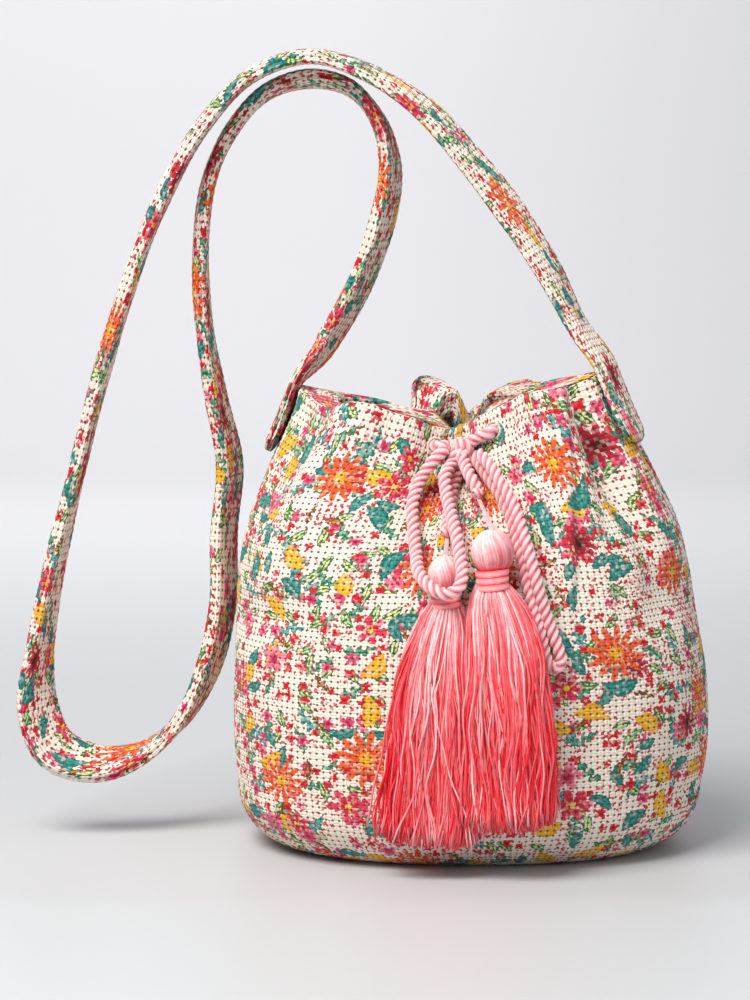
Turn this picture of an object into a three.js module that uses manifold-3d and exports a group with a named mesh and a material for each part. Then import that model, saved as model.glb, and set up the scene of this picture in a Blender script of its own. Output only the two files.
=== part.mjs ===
// A drawstring bucket bag of printed basket-weave canvas, standing on its round base.
// A soft wall is gathered at the neck by a twisted cord that runs in a casing, comes out of
// two slits at the front and is tied in a bow with two tassels. A padded shoulder strap is
// sewn to both sides and stands over the bag in one loop.
// Millimetres, +Z up, -Y is the front, and the origin is the middle of the base on the floor.
import * as THREE from "three";
import { mergeVertices } from "three/addons/utils/BufferGeometryUtils.js";
import Module from "manifold-3d";

const wasm = await Module();
wasm.setup();

// Bag
const bagHeight = 232; // floor to the rim at the strap
const halfWidth = 120; // at the widest, well below the middle
const halfDepth = 104;
const cornerRadius = 30; // between the base and the side
const wallThickness = 2.4;
const foldReach = 18; // how far in the deepest pleat of the neck goes
const rimDrop = 20; // how far the rim sinks over the deepest pleat
const rimStart = 0.6; // share of the height from which the rim's waves show
const dentReach = 4; // the deepest dent of the soft side
const touchGap = 0.3; // between pieces that touch

// Neck casing and drawcord
const casingDrop = 11; // rim to the middle of the casing
const facingTop = 2; // rim to the upper edge of the casing's facing
const facingBottom = 27; // rim to its lower edge
const facingThickness = 1.6;
const facingGap = 0.8; // between the facing's two edges and the wall
const casingEase = 3.4; // room for the cord in the casing, over its own thickness
const casingHalf = 7.2; // half the height of the casing's straight part
const cordDiameter = 6.5;
const slitEase = 0.8; // room round the cord in its slit
const knotAngle = -7; // degrees from the front, positive to the right
const slitSpread = 21; // degrees from the knot to each slit
const slitBlend = 9; // degrees to each side of a slit in which the cord passes the wall
const leadStart = 9.8; // degrees from the knot's middle to the ends of the drawcord ring
const leadLift = 2.2; // the ring's ends meet the knot in its upper half
const knotSize = new THREE.Vector3(12, 15, 11); // across, deep, tall
const knotClear = 0.9; // from the wall's hollow to the knot

// Bow and tassels
const leftLoopDrop = 65.5; // knot to the lowest point of the loop
const rightLoopDrop = 103;
const tasselLeft = { head: 18, neck: 15.5, neckTall: 7, bottom: 11, spread: 42, flat: 14 };
const tasselRight = { head: 21, neck: 17, neckTall: 8, bottom: 22, spread: 43, flat: 16 };
// Where each head hangs, as shares of its loop's drop from the knot, how far the skirt leans
// to the side as a share of its spread, and how proud of the wall it hangs in cord diameters
const hangLeft = { across: -0.137, down: 0.89, lean: -0.17, proud: 0 };
const hangRight = { across: 0.13, down: 0.455, lean: 0.2, proud: 0.55 };
const neckStart = 0.86; // of the head's radius, from its middle down to the neck
const neckGroove = 0.9; // of the neck's width, between two turns of its binding
const neckTurns = 3;
const skirtTuck = 1.5; // how far up inside the neck the skirt starts
const skirtLocks = 8;
const lockPress = 0.16; // depth of the grooves between locks, as a share of the skirt
const bellyUp = 0.3; // the skirts hang straight down below this share of the bag's height
const threadDiameter = 2.4;
const threadEase = 1; // below a tail's end knot, as the thread starts at a slant
const endKnotDiameter = 7.6;

// Strap
const strapWidth = 24;
const strapThickness = 7.5;
const seatThickness = 5; // pressed flat where its ends are sewn on
const strapLap = 34; // how far each sewn end runs down the wall
const seatShares = [1, 0.62, 0.25]; // of strapLap, where the sewn end's sections lie
const endTaper = 0.72; // of the strap's very tips
const strapCorner = 0.6; // its section's outline: 1 is an ellipse, 0 a box
const leftSeatAngle = -95;
const rightSeatAngle = 74;

// Fineness of the facets
const wallSides = 72;
const cordSides = 8;
const strapSides = 8;
const ringSteps = 60;

const radians = THREE.MathUtils.degToRad;
const cordRadius = cordDiameter / 2;

// The wall's sections above the base corner, as shares of the bag's height, half width and
// half depth. Gather says how much of each neck pleat shows there.
const sections = [
  { up: 0.1, left: 0.985, right: 0.965, front: 0.975, back: 0.975, gather: 0 },
  { up: 0.2, left: 1.0, right: 0.995, front: 0.998, back: 0.995, gather: 0 },
  { up: 0.3, left: 1.0, right: 1.0, front: 1.0, back: 1.0, gather: 0 },
  { up: 0.4, left: 0.997, right: 0.99, front: 0.985, back: 0.985, gather: 0 },
  { up: 0.5, left: 0.993, right: 0.96, front: 0.945, back: 0.945, gather: 0.05 },
  { up: 0.6, left: 0.983, right: 0.93, front: 0.88, back: 0.88, gather: 0.2 },
  { up: 0.7, left: 0.95, right: 0.875, front: 0.785, back: 0.785, gather: 0.45 },
  { up: 0.8, left: 0.885, right: 0.77, front: 0.67, back: 0.67, gather: 0.78 },
  { up: 0.88, left: 0.82, right: 0.68, front: 0.575, back: 0.575, gather: 1 },
  { up: 0.94, left: 0.77, right: 0.62, front: 0.515, back: 0.52, gather: 1 },
  { up: 1.0, left: 0.73, right: 0.575, front: 0.46, back: 0.485, gather: 1 },
];

// Pleats of the neck: where, how far out (in, if negative) as a share of foldReach, and the
// half width in degrees.
const pleats = [
  { at: -14, out: -1.0, spread: 36 },
  { at: -56, out: 0.3, spread: 16 },
  { at: -78, out: -0.25, spread: 15 },
  { at: -138, out: -0.9, spread: 17 },
  { at: -158, out: 0.65, spread: 15 },
  { at: 179, out: -0.85, spread: 17 },
  { at: 155, out: 0.45, spread: 15 },
  { at: 120, out: -0.35, spread: 20 },
  { at: 57, out: -0.6, spread: 9 },
  { at: 42, out: 0.45, spread: 13 },
];

// The rim's height over the bag's height, as a share of rimDrop, round the bag.
const rimRows = [
  { at: -180, over: -0.85 },
  { at: -171, over: -0.35 },
  { at: -163, over: 0 },
  { at: -153, over: -0.05 },
  { at: -145, over: -0.5 },
  { at: -136, over: -0.9 },
  { at: -120, over: -0.5 },
  { at: -106, over: -0.15 },
  { at: -90, over: -0.1 },
  { at: -70, over: -0.5 },
  { at: -52, over: -0.35 },
  { at: -38, over: -0.7 },
  { at: -24, over: -1.0 },
  { at: -8, over: -0.9 },
  { at: 8, over: -0.62 },
  { at: 20, over: -0.3 },
  { at: 34, over: -0.05 },
  { at: 48, over: 0 },
  { at: 56, over: -0.05 },
  { at: 66, over: 0.25 },
  { at: 76, over: 0.4 },
  { at: 92, over: 0.35 },
  { at: 120, over: -0.05 },
  { at: 150, over: -0.05 },
  { at: 160, over: -0.15 },
  { at: 170, over: -0.6 },
  { at: 180, over: -0.85 },
];

// Dents of the soft side: depth is a share of dentReach, tall a share of the bag's height.
const dents = [
  { at: -62, up: 0.52, depth: 0.9, spread: 26, tall: 0.09 },
  { at: -20, up: 0.6, depth: 0.6, spread: 22, tall: 0.14 },
  { at: 62, up: 0.56, depth: 1.0, spread: 24, tall: 0.1 },
  { at: 110, up: 0.4, depth: 0.7, spread: 28, tall: 0.12 },
  { at: 170, up: 0.55, depth: 1.0, spread: 34, tall: 0.1 },
  { at: -130, up: 0.45, depth: 0.8, spread: 26, tall: 0.12 },
];

// A soft rise from 0 to 1 between two values.
function rise(value, low, high) {
  const t = THREE.MathUtils.clamp((value - low) / (high - low), 0, 1);
  return t * t * (3 - 2 * t);
}

// A soft bump: 1 in the middle, 0 from the given half width on.
function bump(distance, half) {
  const t = Math.min(1, Math.abs(distance) / half);
  return Math.cos((t * Math.PI) / 2) ** 2;
}

// The difference of two angles in degrees, from -180 to 180.
function angleBetween(a, b) {
  return ((((a - b) % 360) + 540) % 360) - 180;
}

// One column of a table at a place along it, on a smooth curve through the rows.
function tableValue(rows, key, column, at) {
  const last = rows.length - 1;
  let i = 0;
  while (i < last - 1 && rows[i + 1][key] < at) i++;
  const row = (k) => rows[THREE.MathUtils.clamp(k, 0, last)];
  const span = rows[i + 1][key] - rows[i][key];
  const t = THREE.MathUtils.clamp((at - rows[i][key]) / span, 0, 1);
  const slope = (k) => {
    const run = row(k + 1)[key] - row(k - 1)[key];
    return ((row(k + 1)[column] - row(k - 1)[column]) / run) * span;
  };
  const [from, to] = [rows[i][column], rows[i + 1][column]];
  const ease = t * t * (3 - 2 * t);
  const bend = slope(i) * t * (1 - t) ** 2 - slope(i + 1) * t * t * (1 - t);
  return from + (to - from) * ease + bend;
}

const sectionValue = (column, up) => tableValue(sections, "up", column, up);

// The radius of a rounded section with four different half sizes, towards an angle.
const squareness = 2.3;
function sectionRadius(angle, half) {
  const [s, c] = [Math.sin(radians(angle)), Math.cos(radians(angle))];
  const across = Math.abs(s) / (s > 0 ? half.right : half.left);
  const deep = Math.abs(c) / (c > 0 ? half.front : half.back);
  return (across ** squareness + deep ** squareness) ** (-1 / squareness);
}

// The sizes of the section at a share of the height, each drawn in by the same length.
function halfSizes(up, inset) {
  return {
    left: sectionValue("left", up) * halfWidth - inset,
    right: sectionValue("right", up) * halfWidth - inset,
    front: sectionValue("front", up) * halfDepth - inset,
    back: sectionValue("back", up) * halfDepth - inset,
  };
}

const cornerUp = cornerRadius / bagHeight;

// A point of the wall's outer face. Level runs from 0 at the base edge to 1 at the top of
// the round corner, and on to 2 at the rim.
function wallPoint(angle, level) {
  let up = cornerUp;
  let inset = 0;
  let z = 0;
  if (level < 1) {
    const turn = (level * Math.PI) / 2;
    inset = cornerRadius * (1 - Math.sin(turn));
    z = cornerRadius * (1 - Math.cos(turn));
  } else {
    up = cornerUp + (level - 1) * (1 - cornerUp);
    z = up * bagHeight;
  }
  let radius = sectionRadius(angle, halfSizes(up, inset));
  const gather = level < 1 ? 0 : sectionValue("gather", up);
  for (const pleat of pleats) {
    radius += pleat.out * foldReach * gather * bump(angleBetween(angle, pleat.at), pleat.spread);
  }
  const over = tableValue(rimRows, "at", "over", angleBetween(angle, 0));
  z += over * rimDrop * rise(up, rimStart, 1);
  for (const dent of dents) {
    const share = bump(angleBetween(angle, dent.at), dent.spread);
    radius -= dent.depth * dentReach * share * bump(up - dent.up, dent.tall) * rise(level, 0.9, 1.1);
  }
  return new THREE.Vector3(
    radius * Math.sin(radians(angle)),
    -radius * Math.cos(radians(angle)),
    z,
  );
}

// The outward normal of the wall's outer face.
function wallNormal(angle, level) {
  const [turn, step] = [0.5, 0.004];
  const high = Math.min(2, level + step);
  const low = Math.max(0, high - 2 * step);
  const around = wallPoint(angle + turn, level).sub(wallPoint(angle - turn, level));
  const along = wallPoint(angle, high).sub(wallPoint(angle, low));
  return around.cross(along).normalize();
}

// A point that lies a real distance off the wall's outer face (in, if negative), moved
// straight towards the bag's axis.
function besideWall(angle, level, distance) {
  const outward = new THREE.Vector3(Math.sin(radians(angle)), -Math.cos(radians(angle)), 0);
  const lean = Math.max(0.5, wallNormal(angle, level).dot(outward));
  return wallPoint(angle, level).addScaledVector(outward, distance / lean);
}

const levelAtDrop = (drop) => 1 + (1 - drop / bagHeight - cornerUp) / (1 - cornerUp);

// The front of the wall at a place across and a height: the point, and how much further a
// piece has to stand forward there to be clear of the sloping wall.
function frontOfWall(x, z) {
  let [left, right] = [-70, 70];
  let level = 1;
  let angle = 0;
  for (let i = 0; i < 24; i++) {
    angle = (left + right) / 2;
    let [low, high] = [0, 2];
    for (let k = 0; k < 24; k++) {
      level = (low + high) / 2;
      if (wallPoint(angle, level).z < z) low = level;
      else high = level;
    }
    if (wallPoint(angle, level).x < x) left = angle;
    else right = angle;
  }
  const facing = Math.max(0.6, -wallNormal(angle, level).y);
  return { y: wallPoint(angle, level).y, slope: 1 / facing };
}

// A closed solid skinned over rings of points. Each ring runs anticlockwise seen from the
// next one. A loop of rings has no ends, and otherwise each end is closed by a fan.
function skin(rings, { loop = false } = {}) {
  const sides = rings[0].length;
  const points = rings.flat();
  const faces = [];
  const spans = loop ? rings.length : rings.length - 1;
  for (let i = 0; i < spans; i++) {
    const [a, b] = [i * sides, ((i + 1) % rings.length) * sides];
    for (let j = 0; j < sides; j++) {
      const k = (j + 1) % sides;
      faces.push(a + j, a + k, b + k, a + j, b + k, b + j);
    }
  }
  if (!loop) {
    const ends = [
      { ring: rings[0], first: 0, back: true },
      { ring: rings.at(-1), first: (rings.length - 1) * sides, back: false },
    ];
    for (const { ring, first, back } of ends) {
      const middle = ring.reduce((sum, p) => sum.add(p), new THREE.Vector3());
      points.push(middle.divideScalar(sides));
      for (let j = 0; j < sides; j++) {
        const [p, q] = [first + j, first + ((j + 1) % sides)];
        faces.push(points.length - 1, back ? q : p, back ? p : q);
      }
    }
  }
  return new THREE.BufferGeometry().setFromPoints(points).setIndex(faces);
}

// three.js geometry to a solid that can be cut or joined, and back.
function toSolid(geometry) {
  const bare = geometry.clone();
  bare.deleteAttribute("normal");
  bare.deleteAttribute("uv");
  const merged = mergeVertices(bare, 1e-3);
  return new wasm.Manifold(
    new wasm.Mesh({
      numProp: 3,
      vertProperties: new Float32Array(merged.attributes.position.array),
      triVerts: new Uint32Array(merged.index.array),
    }),
  );
}

function toGeometry(solid) {
  const mesh = solid.getMesh();
  return new THREE.BufferGeometry()
    .setAttribute("position", new THREE.BufferAttribute(mesh.vertProperties.slice(), 3))
    .setIndex(new THREE.BufferAttribute(mesh.triVerts.slice(), 1));
}

const wallAngles = Array.from({ length: wallSides }, (_, i) => (i * 360) / wallSides);

// A smooth ring of points inside the wall, at least so deep under its outer face, for the
// pieces that don't follow each pleat.
function ringInside(level, depth, smoothing) {
  const around = wallAngles.map((a) => wallPoint(a, level));
  const clear = wallAngles.map((a, i) => {
    const outward = around[i].clone().setZ(0);
    let share = 1;
    const free = (k) => {
      const p = outward.clone().multiplyScalar(share).setZ(around[k].z);
      const q = around[(k + 1) % wallSides].clone().setZ(around[k].z);
      return new THREE.Line3(around[k], q).closestPointToPoint(p, true, q).distanceTo(p);
    };
    const steep = Math.hypot(wallNormal(a, level).x, wallNormal(a, level).y);
    while (around.some((_, k) => free(k) < depth / steep)) share -= 0.01;
    return outward.length() * share;
  });
  const near = (list, i) =>
    Array.from({ length: 2 * smoothing + 1 }, (_, k) =>
      list[(i + k - smoothing + wallSides) % wallSides],
    );
  const least = clear.map((_, i) => Math.min(...near(clear, i)));
  return wallAngles.map((a, i) => {
    const radius = near(least, i).reduce((sum, r) => sum + r, 0) / (2 * smoothing + 1);
    return new THREE.Vector3(
      radius * Math.sin(radians(a)),
      -radius * Math.cos(radians(a)),
      around[i].z,
    );
  });
}

// Side wall: a hollow shell from the base edge up to the gathered rim
const cornerLevels = [0, 0.35, 0.7, 1];
const sideUps = [0.22, 0.34, 0.45, 0.55, 0.64, 0.72, 0.79, 0.85, 0.905, 0.955, 1];
const wallLevels = [
  ...cornerLevels,
  ...sideUps.map((up) => 1 + (up - cornerUp) / (1 - cornerUp)),
];

function makeSideWall() {
  const outer = wallLevels.map((level) => wallAngles.map((a) => wallPoint(a, level)));
  const inner = wallLevels.map((level) =>
    wallAngles.map((a) =>
      wallPoint(a, level).addScaledVector(wallNormal(a, level), -wallThickness),
    ),
  );
  // At the base edge the wall lies flat, so its inner face is straight above.
  inner[0] = outer[0].map((p) => p.clone().setZ(wallThickness));
  const shell = toSolid(skin([...outer, ...inner.reverse()], { loop: true }));
  const slits = [slitRoute(1), slitRoute(-1)].map((route) =>
    toSolid(cordAlong(route, cordDiameter + 2 * slitEase, slitSteps + 1)),
  );
  return toGeometry(shell.subtract(slits[0]).subtract(slits[1]));
}

// Base panel: an oval disc set into the wall's lower edge
function makeBasePanel() {
  const edge = wallAngles.map((a) => {
    const p = wallPoint(a, 0);
    return p.multiplyScalar(1 - touchGap / p.length());
  });
  const top = edge.map((p) => p.clone().setZ(wallThickness));
  return skin([edge, top]);
}

// Neck facing: the turned-in band that closes the casing round the drawcord
const casingLevel = levelAtDrop(casingDrop);
const cordDepth = wallThickness + cordRadius + casingEase / 2;
const casingDepth = wallThickness + cordDiameter + casingEase;

function makeNeckFacing() {
  const edgeDepth = wallThickness + facingGap;
  const rows = [
    { drop: facingBottom, depth: edgeDepth, smoothing: 1 },
    { drop: casingDrop + casingHalf, depth: casingDepth, smoothing: 2 },
    { drop: casingDrop - casingHalf, depth: casingDepth, smoothing: 2 },
    { drop: facingTop, depth: edgeDepth, smoothing: 1 },
  ];
  const face = (extra) =>
    rows.map((row) => ringInside(levelAtDrop(row.drop), row.depth + extra, row.smoothing));
  return skin([...face(0), ...face(facingThickness).reverse()], { loop: true });
}

// A round cord along a route, as an extruded section
function cordAlong(route, diameter, steps) {
  const section = new THREE.Shape();
  section.absarc(0, 0, diameter / 2, 0, 2 * Math.PI);
  return new THREE.ExtrudeGeometry(section, {
    steps,
    curveSegments: cordSides / 2,
    bevelEnabled: false,
    extrudePath: new THREE.CatmullRomCurve3(route, false, "centripetal"),
  });
}

// The drawcord's ring: outside the wall near the knot, inside the casing past the slits
const casingRing = ringInside(casingLevel, cordDepth, 2);

function drawcordPoint(angle) {
  const away = Math.abs(angleBetween(angle, knotAngle));
  const at = (((angle % 360) + 360) % 360) / (360 / wallSides);
  const i = Math.floor(at) % wallSides;
  const inside = casingRing[i].clone().lerp(casingRing[(i + 1) % wallSides], at - Math.floor(at));
  const outside = besideWall(angle, casingLevel, cordRadius + 2 * touchGap);
  outside.z += leadLift;
  return outside.lerp(inside, rise(away, slitSpread - slitBlend, slitSpread + slitBlend));
}

const slitSteps = 5;
const drawcordRoute = (from, to, steps) =>
  Array.from({ length: steps + 1 }, (_, i) =>
    drawcordPoint(knotAngle + from + ((to - from) * i) / steps),
  );
const ringRoute = drawcordRoute(leadStart, 360 - leadStart, ringSteps);
const slitRoute = (side) =>
  drawcordRoute(side * (slitSpread - slitBlend), side * (slitSpread + slitBlend - 2), slitSteps);

// Bow knot: an oval lump just outside the wall between the slits
const knotSeat = besideWall(knotAngle, casingLevel, knotSize.y / 2 + knotClear);

function makeBowKnot() {
  const ball = new THREE.SphereGeometry(0.5, 14, 9);
  return ball.scale(knotSize.x, knotSize.y, knotSize.z).translate(...knotSeat);
}

// Routes of the free cord, as shares of the loop's drop measured from the knot, and how
// proud of the wall the cord lies, in cord diameters on top of lying on it.
const leftLoopRoute = [
  { across: -0.117, down: 0.01, proud: 1.1 },
  { across: -0.16, down: 0.04, proud: 1.1 },
  { across: -0.23, down: 0.11, proud: 0.8 },
  { across: -0.31, down: 0.23, proud: 0.15 },
  { across: -0.374, down: 0.4, proud: 0 },
  { across: -0.37, down: 0.574, proud: 0 },
  { across: -0.352, down: 0.747, proud: 0.5 },
  { across: -0.332, down: 0.87, proud: 1.72 },
  { across: -0.24, down: 0.965, proud: 2.54 },
  { across: -0.137, down: 1.0, proud: 2.7 },
  { across: -0.055, down: 0.965, proud: 2.7 },
  { across: -0.02, down: 0.88, proud: 2.45 },
  { across: -0.035, down: 0.73, proud: 1.8 },
  { across: -0.065, down: 0.562, proud: 1.4 },
  { across: -0.122, down: 0.33, proud: 1.2 },
  { across: -0.13, down: 0.2, proud: 1.5 },
  { across: -0.064, down: 0.1, proud: 1.1 },
];

const rightLoopRoute = [
  { across: 0.07, down: 0.015, proud: 0.85 },
  { across: 0.125, down: 0.065, proud: 1.05 },
  { across: 0.175, down: 0.145, proud: 1.1 },
  { across: 0.23, down: 0.24, proud: 1.1 },
  { across: 0.272, down: 0.36, proud: 1.1 },
  { across: 0.31, down: 0.49, proud: 1.05 },
  { across: 0.345, down: 0.62, proud: 0.75 },
  { across: 0.39, down: 0.77, proud: 0.2 },
  { across: 0.437, down: 0.9, proud: 0 },
  { across: 0.452, down: 0.965, proud: 0 },
  { across: 0.425, down: 1.0, proud: 0 },
  { across: 0.387, down: 0.965, proud: 0 },
  { across: 0.365, down: 0.875, proud: 0 },
  { across: 0.335, down: 0.755, proud: 0 },
  { across: 0.3, down: 0.62, proud: 0 },
  { across: 0.272, down: 0.49, proud: 0 },
  { across: 0.24, down: 0.355, proud: 0 },
  { across: 0.19, down: 0.23, proud: 0 },
  { across: 0.125, down: 0.135, proud: 0 },
  { across: 0.062, down: 0.05, proud: 0 },
];

const leftTailRoute = [
  { across: -0.02, down: 0.178, proud: 0.1 },
  { across: -0.065, down: 0.27, proud: 0.03 },
  { across: -0.1, down: 0.44, proud: 0 },
  { across: -0.12, down: 0.6, proud: 0.12 },
];

const rightTailRoute = [
  { across: 0.01, down: 0.07, proud: 0.95 },
  { across: 0.04, down: 0.135, proud: 0.95 },
  { across: 0.075, down: 0.2, proud: 0.5 },
];

// A place in front of the wall, across and down from the knot, for a round thing that lies
// on the wall, or further out by so many cord diameters.
function frontPlace(across, down, proud, radius = cordRadius) {
  const [x, z] = [knotSeat.x + across, knotSeat.z - down];
  const { y, slope } = frontOfWall(x, z);
  const out = radius + 2 * touchGap + proud * cordDiameter;
  return new THREE.Vector3(x, y - out * slope, z);
}

const routePoints = (route, drop) =>
  route.map((row) => frontPlace(row.across * drop, row.down * drop, row.proud));

function makeTail(route, drop, steps) {
  const points = routePoints(route, drop);
  const ball = new THREE.SphereGeometry(endKnotDiameter / 2, 10, 7).translate(...points.at(-1));
  return toGeometry(toSolid(cordAlong(points, cordDiameter, steps)).add(toSolid(ball)));
}

// A flat oval ring of points with lengthwise locks pressed into its outline
function ovalRing(middle, wide, deep, sides, locks = 0, press = 0) {
  return Array.from({ length: sides }, (_, i) => {
    const turn = (2 * Math.PI * i) / sides;
    const reach = 1 - press * (0.5 - 0.5 * Math.cos(turn * locks));
    return new THREE.Vector3(
      middle.x + (wide / 2) * reach * Math.cos(turn),
      middle.y + (deep / 2) * reach * Math.sin(turn),
      middle.z,
    );
  });
}

// The skirt's way down, as shares of its length, how far it has opened, and how much of its
// sideways lean shows.
const skirtRows = [
  { down: 0, open: 0.02, lean: 0 },
  { down: 0.08, open: 0.4, lean: 0.2 },
  { down: 0.24, open: 0.68, lean: 0.6 },
  { down: 0.48, open: 0.84, lean: 0.85 },
  { down: 0.76, open: 0.94, lean: 0.95 },
  { down: 0.975, open: 1, lean: 1 },
  { down: 1, open: 0.9, lean: 1 },
];

// Tassel: hanging thread, ball head, bound neck and a skirt of locks, fused to one solid.
// It hangs from a tail's end, and its head and skirt lie on the wall or so far proud of it.
function makeTassel(size, tail, hanging, drop) {
  const ballRadius = size.head / 2;
  const ball = frontPlace(
    hanging.across * drop,
    hanging.down * drop,
    hanging.proud,
    ballRadius,
  );
  const lying = (z, radius) => {
    const { y, slope } = frontOfWall(ball.x, Math.max(z, bellyUp * bagHeight));
    return y - (radius + 2 * touchGap + hanging.proud * cordDiameter) * slope;
  };
  const neckTop = ball.z - ballRadius * neckStart;
  const neckBottom = neckTop - size.neckTall;
  const neckPlace = (z) => new THREE.Vector3(ball.x, lying(z, size.neck / 2), z);
  const hang = tail.clone().setZ(tail.z - endKnotDiameter / 2 - threadEase);
  const thread = cordAlong([hang, ball], threadDiameter, 1);
  const neckRings = Array.from({ length: 2 * neckTurns + 1 }, (_, i) => {
    const wide = size.neck * (i % 2 ? 1 : neckGroove);
    return ovalRing(neckPlace(neckBottom + (size.neckTall * i) / (2 * neckTurns)), wide, wide, 14);
  });
  const skirtTop = neckBottom + skirtTuck;
  const skirtRings = skirtRows.map((row) => {
    const inNeck = size.neck * neckGroove;
    const deep = inNeck + (size.flat - inNeck) * row.open;
    const wide = inNeck + (size.spread - inNeck) * row.open;
    const middle = neckPlace(skirtTop + (size.bottom - skirtTop) * row.down);
    middle.x += hanging.lean * size.spread * row.lean;
    middle.y = lying(middle.z, deep / 2);
    return ovalRing(middle, wide, deep, 4 * skirtLocks, skirtLocks, lockPress * row.open);
  });
  const headBall = new THREE.SphereGeometry(ballRadius, 12, 9).translate(...ball);
  const parts = [headBall, skin(neckRings), skin(skirtRings.reverse())];
  return toGeometry(parts.reduce((sum, part) => sum.add(toSolid(part)), toSolid(thread)));
}

function makeLeftTassel() {
  const tail = routePoints(leftTailRoute, leftLoopDrop).at(-1);
  return makeTassel(tasselLeft, tail, hangLeft, leftLoopDrop);
}

function makeRightTassel() {
  const tail = routePoints(rightTailRoute, rightLoopDrop).at(-1);
  return makeTassel(tasselRight, tail, hangRight, rightLoopDrop);
}

// The strap's free route from the left seat round to the right one: across as a share of
// the half width, back as a share of the half depth, up as a share of the bag's height,
// and the turn of its width away from straight front to back, in degrees.
const strapRoute = [
  { across: -0.62, back: 0.24, up: 1.085, turn: 21 },
  { across: -0.47, back: 0.21, up: 1.22, turn: 21 },
  { across: -0.372, back: 0.16, up: 1.365, turn: 21 },
  { across: -0.342, back: 0.13, up: 1.475, turn: 17 },
  { across: -0.393, back: 0.11, up: 1.578, turn: 5 },
  { across: -0.513, back: 0.1, up: 1.648, turn: -5 },
  { across: -0.679, back: 0.1, up: 1.668, turn: -8 },
  { across: -0.862, back: 0.1, up: 1.64, turn: -3 },
  { across: -1.006, back: 0.11, up: 1.563, turn: 5 },
  { across: -1.108, back: 0.13, up: 1.453, turn: 5 },
  { across: -1.149, back: 0.16, up: 1.299, turn: 0 },
  { across: -1.138, back: 0.19, up: 1.133, turn: -5 },
  { across: -1.09, back: 0.24, up: 0.968, turn: -13 },
  { across: -1.035, back: 0.3, up: 0.815, turn: -20 },
  { across: -1.06, back: 0.3, up: 0.66, turn: -22 },
  { across: -1.066, back: 0.27, up: 0.5, turn: -22 },
  { across: -1.127, back: 0.22, up: 0.363, turn: -20 },
  { across: -1.235, back: 0.16, up: 0.255, turn: -10 },
  { across: -1.4, back: 0.1, up: 0.182, turn: 9 },
  { across: -1.6, back: 0.06, up: 0.158, turn: 33 },
  { across: -1.78, back: 0.04, up: 0.195, turn: 60 },
  { across: -1.852, back: 0.04, up: 0.293, turn: 44 },
  { across: -1.838, back: 0.03, up: 0.415, turn: 20 },
  { across: -1.775, back: 0.02, up: 0.594, turn: 10 },
  { across: -1.682, back: 0, up: 0.792, turn: 4 },
  { across: -1.583, back: -0.02, up: 0.99, turn: 3 },
  { across: -1.466, back: -0.03, up: 1.189, turn: 2 },
  { across: -1.32, back: -0.04, up: 1.387, turn: 2 },
  { across: -1.128, back: -0.05, up: 1.565, turn: 0 },
  { across: -0.92, back: -0.06, up: 1.674, turn: 0 },
  { across: -0.68, back: -0.06, up: 1.714, turn: -2 },
  { across: -0.44, back: -0.07, up: 1.68, turn: -8 },
  { across: -0.2, back: -0.08, up: 1.6, turn: -20 },
  { across: 0.0, back: -0.09, up: 1.486, turn: -26 },
  { across: 0.153, back: -0.1, up: 1.385, turn: -29 },
  { across: 0.318, back: -0.12, up: 1.255, turn: -25 },
  { across: 0.44, back: -0.14, up: 1.135, turn: -16 },
];

// The sewn ends lie on the wall: their stations from the tip up to just past the rim.
function seatStations(angle) {
  const off = seatThickness / 2 + 2 * touchGap;
  const stations = seatShares.map((share) => {
    const level = levelAtDrop(share * strapLap);
    const place = wallPoint(angle, level).addScaledVector(wallNormal(angle, level), off);
    const width = wallPoint(angle + 1, level).sub(wallPoint(angle - 1, level)).normalize();
    return { place, width: width.multiplyScalar(Math.sign(width.y)), thick: seatThickness };
  });
  const [, lower, upper] = stations;
  const beyond = upper.place.clone().sub(lower.place).add(upper.place);
  return [...stations, { ...upper, place: beyond }];
}

function strapStations() {
  const free = strapRoute.map((row) => ({
    place: new THREE.Vector3(row.across * halfWidth, row.back * halfDepth, row.up * bagHeight),
    turn: radians(row.turn),
    thick: strapThickness,
  }));
  const left = seatStations(leftSeatAngle);
  const right = seatStations(rightSeatAngle).reverse();
  return [...left, ...free, ...right];
}

// Axes of the strap's section at a tangent: across its thickness, and along its width
function restAxes(tangent) {
  const depth = new THREE.Vector3(0, 1, 0);
  const thick = depth.clone().cross(tangent).normalize();
  const wide = depth.addScaledVector(tangent, -depth.dot(tangent)).normalize();
  return { thick, wide };
}

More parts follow.
